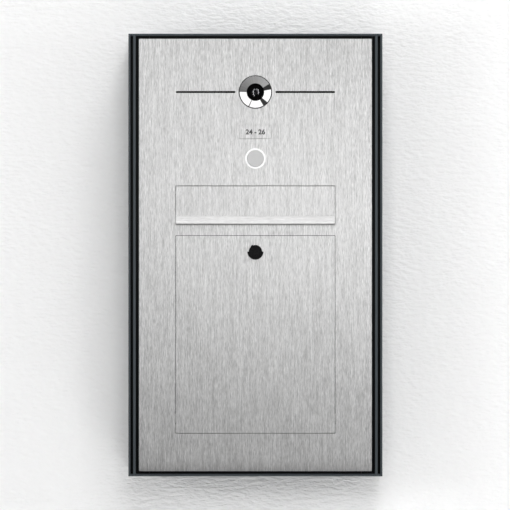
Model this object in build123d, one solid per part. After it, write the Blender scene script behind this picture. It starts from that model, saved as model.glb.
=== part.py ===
from build123d import *
import math
import os

# Wall-mounted steel letterbox with a built-in video door intercom.
# Frame: X to the right, Y from the front towards the wall, Z up, all in millimetres.
# The origin is the centre of the rear face, which lies on the wall at y = 0.

# Housing
body_depth = 110.0
wall_thickness = 3.0
groove_width = 4.0
rib_width = 4.0
shadow_gap = 4.5
end_gap = 4.0
cap_thickness = 3.0
ledge_thickness = 3.0
ledge_reach = 31.0
rear_ledge_reach = 18.0
edge_break = 0.4
rail_height = 20.0
back_thickness = 2.0
liner_gap = 0.2
screw_port_radius = 3.6
screw_port_inset = 12.0
drain_radius = 2.5
drain_spacing = 240.0

# Front plate and its openings
plate_width = 350.0
plate_height = 650.0
plate_thickness = 2.0
plate_corner_radius = 1.2
opening_corner_radius = 1.0
plate_side_margin = 55.0
panel_gap = 1.0
seal_depth = 10.0
seal_width = 12.0
seal_inset = 2.0
plate_stud_margin = 95.0
plate_stud_pitch = 150.0
plate_stud_count = 3
plate_stud_inset = 7.0
spacer_radius = 4.0
hook_spacing = 200.0
hook_width = 16.0
hook_thickness = 2.0
hook_height = 20.0

# Spaces on the front plate, from its top edge down
camera_margin = 55.7
camera_to_name = 24.5
name_to_bell = 14.25
bell_to_flap = 25.35
flap_to_door = 16.3
door_margin = 57.2

# Letter flap
flap_opening_height = 58.4
flap_thickness = 1.5
lip_height = 12.2
lip_angle = 18.0
flap_rod_radius = 1.5
flap_ear_radius = 5.0
ear_thickness = 1.5
bracket_width = 6.0
bracket_clearance = 1.0
stop_width = 4.5
stop_height = 8.0
guide_thickness = 1.5
guide_depth = 45.0
guide_fall = 6.5
guide_flange = 7.0
guide_clearance = 4.0

# Mail door
door_thickness = 1.5
door_flange_depth = 12.0
door_rod_radius = 2.0
door_ear_radius = 6.0
bush_wall = 0.9
bush_length = 3.0
surround_thickness = 1.5
surround_depth = 14.0
surround_flange = 10.0
surround_overlap = 8.5
surround_head_flange = 4.0
surround_start = 14.0
door_seal_thickness = 2.2

# Lock
lock_drop = 24.5
lock_collar_radius = 10.0
lock_shoulder_radius = 12.0
lock_collar_height = 2.5
lock_barrel_radius = 9.0
lock_plug_radius = 5.2
lock_ear_size = 4.0
lock_ear_angle = 121.0
lock_ear_reach = 9.0
lock_nut_radius = 12.5
lock_nut_height = 4.0
cam_thickness = 2.0
cam_reach = 29.0
cam_half_width = 7.0
cam_square = 6.0
cam_clearance = 0.5
cover_radius = 8.4
cover_thickness = 1.1
cover_pivot_rise = 6.7
cover_rivet_radius = 0.8
cover_rivet_head = 1.6
key_slot_length = 7.0
key_slot_width = 1.6
key_slot_depth = 8.0

# Camera
bezel_radius = 24.8
bezel_rim = 0.6
bezel_proud = 1.0
bezel_neck_radius = 22.4
bezel_bore_radius = 13.1
bezel_funnel_depth = 3.8
bezel_wall = 2.0
bezel_neck_length = 8.0
camera_nut_radius = 26.0
camera_nut_height = 3.5
shroud_tube_radius = 9.0
shroud_tube_length = 17.0
lens_radius = 6.2
lens_dome_height = 2.0
lens_body_length = 12.0
camera_board_size = 34.0

# Speaking slots, loudspeaker and microphone
slot_start = 30.0
slot_end_inset = 0.5
slot_height = 3.0
mesh_thickness = 0.6
mesh_overlap = 3.0
speaker_radius = 20.0
speaker_flange = 1.2
speaker_height = 19.0
magnet_radius = 11.0
magnet_height = 7.0
microphone_radius = 4.9
microphone_height = 6.0
boot_radius = 8.0
boot_height = 13.0

# Intercom electronics
housing_overlap = 20.0
housing_height = 66.0
housing_depth = 46.0
housing_wall = 2.0
housing_ear = 12.0
main_board_width = 92.0
main_board_height = 54.0
board_thickness = 1.6
board_standoff = 5.0
terminal_size = (56.0, 12.0, 14.0)

# Name plate
name_opening_width = 49.0
name_opening_height = 21.0
name_gap = 0.3
name_holder_width = 80.0
name_holder_height = 28.0
name_holder_thickness = 1.5
name_stud_spacing = 68.0

# Bell button
bell_ring_radius = 15.2
bell_ring_inner = 12.8
bell_ring_flange = 18.0
bell_ring_flange_thickness = 3.0
bell_ring_proud = 0.5
bell_cap_proud = 1.1
bell_cap_wall = 1.6
bell_cap_flange = 15.0
bell_travel = 1.5
bell_moving_gap = 0.3
bell_housing_wall = 3.5
bell_housing_depth = 16.0
bell_stud_spacing = 48.0
bell_plunger_radius = 2.2
bell_spring_radius = 5.0
bell_wire_radius = 0.4
bell_spring_turns = 5
switch_size = (12.8, 6.0, 6.2)

# Wall fixing
wall_hole_radius = 3.25
wall_hole_inset_x = 50.5
wall_hole_inset_z = 92.0
cable_rise = 58.0
cable_hole_radius = 6.0
grommet_neck_radius = 9.0
grommet_flange_radius = 12.5
grommet_length = 6.0

# Shelves
shelf_thickness = 1.5
shelf_flange = 15.0
divider_rise = 7.8
mail_floor_drop = 5.7

# Fasteners and fits
m4_radius = 2.0
m4_head_radius = 4.0
m3_radius = 1.5
nut_height = 3.2
nut_ratio = 2.0
screw_length = 10.0
hole_clearance = 0.3
seat_gap = 0.02
running_gap = 0.05
stop_gap = 0.3
rod_clearance = 0.5

# Values that follow from the sizes above
front_y = -body_depth
plate_back_y = front_y + plate_thickness
ledge_front_y = plate_back_y + seal_depth
ledge_back_y = ledge_front_y + ledge_thickness
profile_width = wall_thickness + groove_width + rib_width + shadow_gap
half_width = plate_width / 2 + profile_width
half_length = plate_height / 2 + end_gap
half_height = half_length + cap_thickness
inner_half_width = half_width - wall_thickness
wall_hole_x = half_width - wall_hole_inset_x
wall_hole_z = half_height - wall_hole_inset_z
port_x = inner_half_width - screw_port_radius + edge_break
port_depths = (ledge_back_y + screw_port_radius * 2, -screw_port_inset)
rear_ledge_y = -back_thickness - ledge_thickness
stud_x = plate_width / 2 - plate_stud_inset
lowest_stud = plate_stud_margin - plate_height / 2
plate_stud_heights = [lowest_stud + plate_stud_pitch * i for i in range(plate_stud_count)]
rail_half = half_width - ledge_reach - liner_gap
rail_screw_y = ledge_back_y + rail_height / 2
opening_width = plate_width - 2 * plate_side_margin
slot_length = opening_width / 2 - slot_end_inset - slot_start
slot_centre = slot_start + slot_length / 2
housing_width = opening_width + 2 * housing_overlap
guide_width = opening_width - 2 * guide_clearance
camera_height = plate_height / 2 - camera_margin - bezel_radius
slot_height_z = camera_height
name_height = camera_height - bezel_radius - camera_to_name - name_opening_height / 2
bell_height = name_height - name_opening_height / 2 - name_to_bell - bell_ring_radius
flap_opening_top = bell_height - bell_ring_radius - bell_to_flap
flap_opening_bottom = flap_opening_top - flap_opening_height
flap_opening_centre = (flap_opening_top + flap_opening_bottom) / 2
door_opening_top = flap_opening_bottom - flap_to_door
door_opening_bottom = door_margin - plate_height / 2
door_opening_height = door_opening_top - door_opening_bottom
door_opening_centre = (door_opening_top + door_opening_bottom) / 2
divider_height = flap_opening_top + divider_rise
mail_floor_height = door_opening_bottom - mail_floor_drop
cable_height = divider_height + cable_rise
panel_half_width = opening_width / 2 - panel_gap
swing_rise = panel_gap - stop_gap


def hinge_setback(depth):
    """How far a hinge lies from a panel's edge so that the edge rises only swing_rise as it turns."""
    return (depth ** 2 - swing_rise ** 2) / (2 * swing_rise)


flap_top = flap_opening_top - panel_gap
flap_bottom = flap_opening_bottom + panel_gap
flap_axis_depth = plate_thickness + rod_clearance + flap_rod_radius
flap_axis_z = flap_top - hinge_setback(flap_axis_depth)
flap_axis_y = front_y + flap_axis_depth
lip_fold = flap_bottom + lip_height

door_top = door_opening_top - panel_gap
door_bottom = door_opening_bottom + panel_gap
door_axis_depth = plate_thickness + rod_clearance + door_rod_radius
door_axis_z = door_bottom + hinge_setback(door_axis_depth)
door_axis_y = front_y + door_axis_depth
surround_back_y = plate_back_y + surround_depth
lock_z = door_top + panel_gap - lock_drop
cam_front_y = surround_back_y + cam_clearance
cam_back_y = cam_front_y + cam_thickness

housing_back_y = plate_back_y + housing_depth
board_y = housing_back_y - housing_wall - board_standoff - board_thickness
housing_stud_x = housing_width / 2 + housing_ear / 2
speaker_back_y = plate_back_y + mesh_thickness + speaker_height
boot_back_y = plate_back_y + mesh_thickness + boot_height
bell_flange_y = plate_back_y + bell_ring_flange_thickness
bell_housing_back_y = bell_flange_y + bell_housing_depth
bell_housing_radius = bell_ring_flange + housing_wall
bell_stud_x = bell_stud_spacing / 2


def block(x0, x1, y0, y1, z0, z1):
    size = (abs(x1 - x0), abs(y1 - y0), abs(z1 - z0))
    return Pos((x0 + x1) / 2, (y0 + y1) / 2, (z0 + z1) / 2) * Box(*size)


def rod_x(y, z, radius, x0, x1):
    return Pos((x0 + x1) / 2, y, z) * Rot(0, 90, 0) * Cylinder(radius, abs(x1 - x0))


def rod_y(x, z, radius, y0, y1):
    return Pos(x, (y0 + y1) / 2, z) * Rot(90, 0, 0) * Cylinder(radius, abs(y1 - y0))


def rod_z(x, y, radius, z0, z1):
    return Pos(x, y, (z0 + z1) / 2) * Cylinder(radius, abs(z1 - z0))


def front_face(sketch, y0, y1):
    """Extrude a sketch drawn in X and Z from depth y1 forward to depth y0."""
    plane = Plane(origin=(0, y1, 0), x_dir=(1, 0, 0), z_dir=(0, -1, 0))
    return extrude(plane * sketch, amount=y1 - y0)


def side_face(points, x0, x1):
    """Extrude an outline given as (y, z) points along X."""
    plane = Plane(origin=(x0, 0, 0), x_dir=(0, 1, 0), z_dir=(1, 0, 0))
    return extrude(plane * Polygon(*points, align=None), amount=x1 - x0)


def turned(points, x, z):
    """Turn an outline given as (radius, y) points about the Y axis through x and z."""
    return Pos(x, 0, z) * revolve(Polygon(*points, align=None), Axis.Y)


def hexagon_nut(x, z, bore, y0, height):
    outline = Pos(x, z) * RegularPolygon(bore * nut_ratio, 6)
    return front_face(outline, y0, y0 + height) - rod_y(x, z, bore + seat_gap, y0, y0 + height)


def both_sides(shape):
    return [shape, mirror(shape, about=Plane.YZ)]


def group(shapes):
    return Compound(children=[solid for shape in shapes for solid in shape.solids()])


def countersunk(radius, head_radius, length):
    """A flat-headed screw whose head lies at z = 0 and whose shank points to -Z."""
    head = head_radius - radius
    outline = [(0, 0), (head_radius, 0), (radius, -head), (radius, -length), (0, -length)]
    plane = Plane(origin=(0, 0, 0), x_dir=(1, 0, 0), z_dir=(0, -1, 0))
    return revolve(plane * Polygon(*outline, align=None), Axis.Z)


# Housing ---------------------------------------------------------------


def profile_right():
    """The extruded side: an outer wall, a deep groove, a rib, and two screw ledges."""
    rib_outer = inner_half_width - groove_width
    wall = block(inner_half_width, half_width, front_y, 0, -half_length, half_length)
    rib = block(rib_outer - rib_width, rib_outer, front_y, ledge_back_y, -half_length, half_length)
    body = wall + rib
    edges = body.edges().filter_by(Axis.Z)
    body = chamfer(edges.filter_by_position(Axis.Y, front_y - 0.1, front_y + 0.1), edge_break)
    inner = half_width - ledge_reach
    body += block(inner, inner_half_width, ledge_front_y, ledge_back_y, -half_length, half_length)
    rear_inner = half_width - rear_ledge_reach
    body += block(rear_inner, inner_half_width, rear_ledge_y, -back_thickness, -half_length, half_length)
    for port_y in port_depths:
        body += rod_z(port_x, port_y, screw_port_radius, -half_length, half_length)
        body -= rod_z(port_x, port_y, m4_radius + seat_gap, -half_length, half_length)
    for height in plate_stud_heights:
        body -= rod_y(stud_x, height, m4_radius + hole_clearance, ledge_front_y, ledge_back_y)
    for height in back_screw_heights():
        body -= rod_y(back_screw_x(), height, m4_radius + seat_gap, rear_ledge_y, -back_thickness)
    return body


def side_profile_right():
    return profile_right()


def side_profile_left():
    return mirror(profile_right(), about=Plane.YZ)


def back_screw_x():
    return half_width - rear_ledge_reach * 0.75


def back_screw_heights():
    return [half_length * share for share in (-0.85, -0.3, 0.3, 0.85)]


def rail_screw_places():
    return [-rail_half * 0.75, 0, rail_half * 0.75]


def cap_screw_places():
    ports = [(side * port_x, depth) for side in (-1, 1) for depth in port_depths]
    return ports + [(place, rail_screw_y) for place in rail_screw_places()]


def screw_down(x, y, z):
    return Pos(x, y, z) * countersunk(m4_radius, m4_head_radius, screw_length)


def countersink(x, y, z):
    wider = countersunk(m4_radius + seat_gap, m4_head_radius + seat_gap, screw_length)
    return Pos(x, y, z) * wider


def top_cap():
    """The end plate that covers the profiles' cut ends and shows as a thin front edge."""
    plate = block(-half_width, half_width, front_y, 0, half_length, half_height)
    plate = chamfer(plate.faces().sort_by(Axis.Y)[0].edges(), edge_break)
    for x, y in cap_screw_places():
        plate -= countersink(x, y, half_height)
    return plate


def bottom_cap():
    plate = mirror(top_cap(), about=Plane.XY)
    for side in (-1, 1):
        plate -= rod_z(side * drain_spacing / 2, front_y / 2, drain_radius, -half_height, -half_length)
    return plate


def top_rail():
    """The angle between the profiles' ledges that backs the plate along its short edge."""
    low = half_length - rail_height
    rail = block(-rail_half, rail_half, ledge_front_y, ledge_back_y, low, half_length)
    foot = half_length - ledge_thickness
    rail += block(-rail_half, rail_half, ledge_front_y, ledge_back_y + rail_height, foot, half_length)
    for place in rail_screw_places():
        rail -= rod_z(place, rail_screw_y, m4_radius + seat_gap, foot, half_length)
    return rail


def bottom_rail():
    return mirror(top_rail(), about=Plane.XY)


def back_panel():
    """The rear sheet with the wall screw holes and the cable hole."""
    side = inner_half_width - liner_gap
    end = half_length - liner_gap
    panel = block(-side, side, -back_thickness, 0, -end, end)
    for x, z in wall_hole_places():
        panel -= rod_y(x, z, wall_hole_radius, -back_thickness, 0)
    panel -= rod_y(0, cable_height, grommet_neck_radius + seat_gap, -back_thickness, 0)
    for x, z in back_screw_places() + shelf_rivet_places():
        panel -= rear_countersink(x, z)
    return panel


def wall_hole_places():
    return [(x, z) for x in (-wall_hole_x, wall_hole_x) for z in (-wall_hole_z, wall_hole_z)]


def back_screw_places():
    return [(side * back_screw_x(), z) for side in (-1, 1) for z in back_screw_heights()]


def rear_screw(x, z, radius, head_radius, length):
    return Pos(x, 0, z) * Rot(-90, 0, 0) * countersunk(radius, head_radius, length)


def rear_countersink(x, z):
    return rear_screw(x, z, m4_radius + seat_gap, m4_head_radius + seat_gap, screw_length)


def flat_head_screws():
    """All the equal flat-headed screws: through both caps, and through the rear panel."""
    top = [screw_down(x, y, half_height) for x, y in cap_screw_places()]
    bottom = [mirror(screw, about=Plane.XY) for screw in top]
    rear = [rear_screw(x, z, m4_radius, m4_head_radius, screw_length) for x, z in back_screw_places()]
    return group(top + bottom + rear)


def cable_grommet():
    inner = -back_thickness
    outline = [
        (cable_hole_radius, -grommet_length),
        (grommet_flange_radius, -grommet_length),
        (grommet_flange_radius, inner),
        (grommet_neck_radius, inner),
        (grommet_neck_radius, 0),
        (cable_hole_radius, 0),
    ]
    return turned(outline, 0, cable_height)


# Shelves ---------------------------------------------------------------


def shelf(height, flange_end):
    """A folded sheet across the housing, riveted to the rear panel by its flange."""
    side = inner_half_width - liner_gap
    front = port_depths[0] + screw_port_radius + liner_gap
    rear = rear_ledge_y - liner_gap
    top = height + shelf_thickness
    sheet = block(-side, side, front, rear, height, top)
    sheet += block(-rail_half, rail_half, plate_back_y + stop_gap, front, height, top)
    for port in (-1, 1):
        edge = port * (port_x - screw_port_radius - liner_gap)
        wall = port * inner_half_width
        sheet -= block(edge, wall, port_depths[1] - screw_port_radius - liner_gap, rear, height, top)
    reach = half_width - rear_ledge_reach - liner_gap
    sheet += block(-reach, reach, rear, -back_thickness, height, top)
    low, high = sorted((height, flange_end))
    flange_front = -back_thickness - shelf_thickness
    sheet += block(-reach, reach, flange_front, -back_thickness, low, max(high, top))
    middle = (height + flange_end) / 2
    for place in shelf_rivet_row():
        sheet -= rod_y(place, middle, m4_radius + seat_gap, flange_front, -back_thickness)
    return sheet


def divider_flange_end():
    return divider_height + shelf_thickness + shelf_flange


def mail_floor_flange_end():
    return mail_floor_height - shelf_flange


def divider_shelf():
    return shelf(divider_height, divider_flange_end())


def mail_floor():
    return shelf(mail_floor_height, mail_floor_flange_end())


def shelf_rivet_row():
    return [-opening_width * 0.4, 0, opening_width * 0.4]


def shelf_rivet_places():
    upper = (divider_height + divider_flange_end()) / 2
    lower = (mail_floor_height + mail_floor_flange_end()) / 2
    return [(place, height) for place in shelf_rivet_row() for height in (upper, lower)]


def shelf_rivets():
    tail = back_thickness + shelf_thickness
    rivets = []
    for x, z in shelf_rivet_places():
        rivet = rear_screw(x, z, m4_radius, m4_head_radius, tail)
        rivets.append(rivet + rod_y(x, z, m4_head_radius, -tail - bush_wall, -tail))
    return group(rivets)


# Front plate -----------------------------------------------------------


def front_plate():
    """The brushed steel plate that carries everything on the front."""
    outline = RectangleRounded(plate_width, plate_height, plate_corner_radius)
    plate = front_face(outline, front_y, plate_back_y)
    plate = chamfer(plate.faces().sort_by(Axis.Y)[0].edges(), edge_break / 2)
    flap_hole = RectangleRounded(opening_width, flap_opening_height, opening_corner_radius)
    door_hole = RectangleRounded(opening_width, door_opening_height, opening_corner_radius)
    name_hole = RectangleRounded(name_opening_width, name_opening_height, opening_corner_radius)
    holes = Pos(0, flap_opening_centre) * flap_hole
    holes += Pos(0, door_opening_centre) * door_hole
    holes += Pos(0, name_height) * name_hole
    holes += Pos(0, camera_height) * Circle(bezel_neck_radius + running_gap)
    holes += Pos(0, bell_height) * Circle(bell_ring_radius + running_gap)
    for side in (-1, 1):
        holes += Pos(side * slot_centre, slot_height_z) * SlotOverall(slot_length, slot_height)
    return plate - front_face(holes, front_y, plate_back_y)


def plate_seal():
    """The foam profile between the plate and the ledges, with a hole for each spacer."""
    outer_w = plate_width - 2 * seal_inset
    outer_h = plate_height - 2 * seal_inset
    ring = Rectangle(outer_w, outer_h) - Rectangle(outer_w - 2 * seal_width, outer_h - 2 * seal_width)
    seal = front_face(ring, plate_back_y, ledge_front_y)
    for x, z in plate_stud_places():
        seal -= rod_y(x, z, spacer_radius + seat_gap, plate_back_y, ledge_front_y)
    return seal


def plate_stud_places():
    return [(side * stud_x, height) for side in (-1, 1) for height in plate_stud_heights]


def small_stud_places():
    """M3 studs with the depth of the seat that each one's nut clamps."""
    housing_seat = plate_back_y + housing_ear / 4
    holder_seat = plate_back_y + name_holder_thickness
    bell_seat = bell_flange_y + housing_wall
    places = []
    for side in (-1, 1):
        places.append((side * housing_stud_x, slot_height_z, housing_seat))
        places.append((side * name_stud_spacing / 2, name_height, holder_seat))
        places.append((side * bell_stud_x, bell_height, bell_seat))
    return places


def plate_studs():
    """Threaded studs welded to the back of the front plate."""
    long_end = ledge_back_y + nut_height + m4_radius
    studs = [rod_y(x, z, m4_radius, plate_back_y, long_end) for x, z in plate_stud_places()]
    for x, z, seat in small_stud_places():
        studs.append(rod_y(x, z, m3_radius, plate_back_y, seat + nut_height + m3_radius))
    return group(studs)


def stud_nuts():
    nuts = [hexagon_nut(x, z, m4_radius, ledge_back_y, nut_height) for x, z in plate_stud_places()]
    for x, z, seat in small_stud_places():
        nuts.append(hexagon_nut(x, z, m3_radius, seat, nut_height))
    return group(nuts)


def plate_spacers():
    """Sleeves that set the plate's distance from the ledges."""
    sleeves = []
    for x, z in plate_stud_places():
        sleeve = rod_y(x, z, spacer_radius, plate_back_y, ledge_front_y)
        sleeves.append(sleeve - rod_y(x, z, m4_radius + seat_gap, plate_back_y, ledge_front_y))
    return group(sleeves)


def plate_hooks():
    """Catches on the plate's back that reach up behind the top rail."""
    rail_low = half_length - rail_height
    arm_top = rail_low - hook_thickness
    arm_low = arm_top - hook_width / 2
    hook_front = ledge_back_y + stop_gap
    hook_back = hook_front + hook_thickness
    tip = rail_low + hook_height / 2
    outline = [
        (plate_back_y, arm_low),
        (hook_back, arm_low),
        (hook_back, tip),
        (hook_front, tip),
        (hook_front, arm_top),
        (plate_back_y, arm_top),
    ]
    near = hook_spacing / 2 - hook_width / 2
    return group(both_sides(side_face(outline, near, near + hook_width)))


# Letter flap -----------------------------------------------------------


def letter_flap():
    """A folded sheet: a flat front, a lip bent outward along its foot, and two hinge ears."""
    angle = math.radians(lip_angle)
    lip_out = lip_height * math.tan(angle)
    back_y = front_y + flap_thickness
    lip_back_y = front_y - lip_out + flap_thickness * math.cos(angle)
    lip_back_z = flap_bottom - flap_thickness * math.sin(angle)
    outline = [
        (front_y, flap_top),
        (front_y, lip_fold),
        (front_y - lip_out, flap_bottom),
        (lip_back_y, lip_back_z),
        (back_y, lip_fold - flap_thickness * math.tan(angle / 2)),
        (back_y, flap_top),
    ]
    flap = side_face(outline, -panel_half_width, panel_half_width)
    for ear in both_sides(flap_ear()):
        flap += ear
    bore = flap_rod_radius + running_gap
    return flap - rod_x(flap_axis_y, flap_axis_z, bore, -panel_half_width, panel_half_width)


def flap_ear():
    inner = panel_half_width - ear_thickness
    web_y = front_y + flap_thickness / 2
    low = flap_axis_z - flap_ear_radius
    high = flap_axis_z + flap_ear_radius
    web = block(inner, panel_half_width, web_y, flap_axis_y, low, high)
    eye = rod_x(flap_axis_y, flap_axis_z, flap_ear_radius, inner, panel_half_width)
    sheet_zone = block(inner, panel_half_width, front_y - flap_ear_radius, web_y, low, high)
    return web + eye - sheet_zone


def bracket_inner():
    return opening_width / 2 + bracket_clearance


def rod_half():
    return bracket_inner() + bracket_width


def flap_hinge_rod():
    return rod_x(flap_axis_y, flap_axis_z, flap_rod_radius, -rod_half(), rod_half())


def hinge_brackets(axis_y, axis_z, rod_radius, eye_radius):
    """Blocks welded behind the plate, one at each end of a hinge rod."""
    inner = bracket_inner()
    web = block(inner, rod_half(), plate_back_y, axis_y, axis_z - eye_radius, axis_z + eye_radius)
    eye = rod_x(axis_y, axis_z, eye_radius, inner, rod_half())
    plate_zone = block(inner, rod_half(), front_y - eye_radius, plate_back_y, axis_z - eye_radius,
                       axis_z + eye_radius)
    bracket = web + eye - plate_zone
    bracket -= rod_x(axis_y, axis_z, rod_radius + seat_gap, inner, rod_half())
    return group(both_sides(bracket))


def flap_hinge_brackets():
    return hinge_brackets(flap_axis_y, flap_axis_z, flap_rod_radius, flap_ear_radius)


def flap_stop_front():
    return front_y + flap_thickness + stop_gap + mesh_thickness


def flap_stops():
    """Small tabs behind the plate that carry the bumpers the flap closes against."""
    inner = opening_width / 2 - stop_width
    outer = rod_half()
    low = lip_fold - stop_height / 2
    high = lip_fold + stop_height / 2
    back_y = flap_stop_front() + guide_thickness
    tab = block(inner, outer, flap_stop_front(), back_y, low, high)
    tab += block(opening_width / 2, outer, plate_back_y, back_y, low, high)
    return group(both_sides(tab))


def flap_bumpers():
    inner = opening_width / 2 - stop_width
    low = lip_fold - stop_height / 2
    high = lip_fold + stop_height / 2
    front = front_y + flap_thickness + stop_gap
    pad = block(inner, panel_half_width, front, flap_stop_front(), low, high)
    return group(both_sides(pad))


def guide_top():
    return flap_bottom - panel_gap - stop_gap


def letter_guide():
    """The sheet that leads letters over the door's head and down into the box."""
    top = guide_top()
    back = plate_back_y + guide_thickness
    outline = [
        (plate_back_y, top),
        (plate_back_y, top - guide_flange),
        (back, top - guide_flange),
        (back, top - guide_thickness),
        (plate_back_y + guide_depth, top - guide_thickness - guide_fall),
        (plate_back_y + guide_depth, top - guide_fall),
        (back, top),
    ]
    return side_face(outline, -guide_width / 2, guide_width / 2)


# Mail door -------------------------------------------------------------


def door_panel():
    """The sheet door with returned sides and head, hinged along its foot."""
    back_y = front_y + door_thickness
    flange_y = front_y + door_flange_depth
    face = RectangleRounded(2 * panel_half_width, door_top - door_bottom, opening_corner_radius)
    door = front_face(Pos(0, (door_top + door_bottom) / 2) * face, front_y, back_y)
    inner = panel_half_width - ear_thickness
    straight_top = door_top - opening_corner_radius
    foot = door_axis_z
    side = block(inner, panel_half_width, back_y - edge_break, flange_y, foot, straight_top)
    eye_room = flange_y - door_axis_y
    side += rod_x(door_axis_y, foot, door_ear_radius, inner, panel_half_width)
    side += block(inner, panel_half_width, door_axis_y, door_axis_y + eye_room, foot, straight_top)
    side -= block(inner, panel_half_width, front_y - door_ear_radius, back_y - edge_break,
                  foot - door_ear_radius, straight_top)
    for flange in both_sides(side):
        door += flange
    head_half = panel_half_width - opening_corner_radius
    door += block(-head_half, head_half, back_y - edge_break, flange_y, door_top - ear_thickness, door_top)
    bore = door_rod_radius + bush_wall + seat_gap
    door -= rod_x(door_axis_y, door_axis_z, bore, -panel_half_width, panel_half_width)
    return door - rod_y(0, lock_z, lock_barrel_radius + running_gap, front_y, back_y)


def door_hinge_bushes():
    """Tight plastic bushes that give the door its friction on the rod."""
    outer = panel_half_width + panel_gap / 2
    bush = rod_x(door_axis_y, door_axis_z, door_rod_radius + bush_wall, outer - bush_length, outer)
    bush -= rod_x(door_axis_y, door_axis_z, door_rod_radius + running_gap / 2, outer - bush_length, outer)
    return group(both_sides(bush))


def door_hinge_rod():
    return rod_x(door_axis_y, door_axis_z, door_rod_radius, -rod_half(), rod_half())


def door_hinge_brackets():
    return hinge_brackets(door_axis_y, door_axis_z, door_rod_radius, door_ear_radius)


def head_frame(inner_side, outer_side, y0, y1, inner_rise, outer_rise):
    """A three-sided frame about the door opening, open at the foot."""
    low = door_axis_z + surround_start
    head = door_top + panel_gap
    half_in = opening_width / 2 + inner_side
    half_out = opening_width / 2 + outer_side
    frame = block(-half_out, half_out, y0, y1, low, head + outer_rise)
    return frame - block(-half_in, half_in, y0, y1, low, head + inner_rise)


def door_surround():
    """The folded frame behind the plate that the closed door and the lock's cam bear on."""
    gap = surround_thickness
    wall = gap + surround_thickness
    wide = wall + surround_flange
    front_leaf_y = plate_back_y + surround_thickness
    seat_y = surround_back_y - surround_thickness
    frame = head_frame(gap, wide, plate_back_y, front_leaf_y, gap, wall + surround_head_flange)
    frame += head_frame(gap, wall, plate_back_y, surround_back_y, gap, wall)
    frame += head_frame(-surround_overlap, wall, seat_y, surround_back_y, -surround_overlap, wall)
    return frame


def door_seal():
    seat_y = surround_back_y - surround_thickness
    inset = surround_overlap - seat_gap
    return head_frame(-inset, stop_gap, seat_y - door_seal_front(), seat_y, -inset, stop_gap)


def door_seal_front():
    """The seal's thickness: it ends just short of the closed door's flanges."""
    seat_y = surround_back_y - surround_thickness
    return min(door_seal_thickness, seat_y - front_y - door_flange_depth - stop_gap)


# Lock ------------------------------------------------------------------


def lock_barrel():
    """The lock's black body: a collar with a wider lower half, and a barrel with the plug's bore."""
    collar_y = front_y - lock_collar_height
    collar = Pos(0, lock_z) * Circle(lock_collar_radius)
    lower = Pos(0, lock_z) * Circle(lock_shoulder_radius)
    upper_half = Pos(0, lock_z + lock_shoulder_radius) * Rectangle(
        2 * lock_shoulder_radius, 2 * lock_shoulder_radius)
    collar += lower - upper_half
    ear = Pos(lock_ear_reach, 0) * Rectangle(lock_ear_size, lock_ear_size)
    collar += Pos(0, lock_z) * Rot(0, 0, lock_ear_angle) * ear
    body = front_face(collar, collar_y, front_y)
    body = chamfer(body.faces().sort_by(Axis.Y)[0].edges(), edge_break)
    body += rod_y(0, lock_z, lock_barrel_radius, front_y, surround_back_y)
    body -= rod_y(0, lock_z, lock_plug_radius + running_gap, collar_y, surround_back_y)
    pivot_z = lock_z + cover_pivot_rise
    return body - rod_y(0, pivot_z, cover_rivet_radius + seat_gap, collar_y, front_y)


def lock_nut():
    seat = front_y + door_thickness
    outline = Pos(0, lock_z) * RegularPolygon(lock_nut_radius, 6)
    nut = front_face(outline, seat, seat + lock_nut_height)
    return nut - rod_y(0, lock_z, lock_barrel_radius + seat_gap, seat, seat + lock_nut_height)


def lock_plug():
    """The turning core with its key slot, a square drive end and the cam screw's thread."""
    nose_y = front_y - lock_collar_height + running_gap
    plug = rod_y(0, lock_z, lock_plug_radius, nose_y, surround_back_y)
    square = cam_square / 2
    plug += block(-square, square, surround_back_y, cam_back_y, lock_z - square, lock_z + square)
    key = Pos(0, lock_z) * Rectangle(key_slot_width, key_slot_length)
    plug -= front_face(key, nose_y, nose_y + key_slot_depth)
    return plug - rod_y(0, lock_z, m3_radius + seat_gap, surround_back_y - m4_radius, cam_back_y)


def lock_cam():
    """The flat bolt: at rest it points sideways, and a quarter turn sets it behind the frame's head."""
    middle = (cam_reach - cam_half_width) / 2
    blade = Pos(middle, lock_z) * SlotOverall(cam_reach + cam_half_width, 2 * cam_half_width)
    cam = front_face(blade, cam_front_y, cam_back_y)
    square = cam_square / 2 + seat_gap
    return cam - block(-square, square, cam_front_y, cam_back_y, lock_z - square, lock_z + square)


def cam_screw():
    head = rod_y(0, lock_z, cam_square * 0.75, cam_back_y, cam_back_y + cam_thickness)
    return head + rod_y(0, lock_z, m3_radius, surround_back_y - m4_radius, cam_back_y)


def cover_back_y():
    return front_y - lock_collar_height - stop_gap


def cover_front_y():
    return cover_back_y() - cover_thickness


def keyhole_cover():
    """The dust cover that hangs over the keyhole from its rivet."""
    cover = rod_y(0, lock_z, cover_radius, cover_front_y(), cover_back_y())
    cover = chamfer(cover.faces().sort_by(Axis.Y)[0].edges(), edge_break)
    cover += rod_y(0, lock_z - cover_pivot_rise * 0.8, cover_rivet_head, cover_front_y() - edge_break,
                   cover_front_y() + edge_break)
    bore = cover_rivet_radius + running_gap
    return cover - rod_y(0, lock_z + cover_pivot_rise, bore, cover_front_y(), cover_back_y())


def cover_rivet():
    pivot_z = lock_z + cover_pivot_rise
    head_y = cover_front_y() - running_gap
    shank = rod_y(0, pivot_z, cover_rivet_radius, head_y, front_y)
    return shank + rod_y(0, pivot_z, cover_rivet_head, head_y - edge_break, head_y)


# Camera ----------------------------------------------------------------


def bezel_bore_y():
    return front_y - bezel_proud + bezel_funnel_depth


def bezel_back_y():
    return plate_back_y + bezel_neck_length


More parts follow.
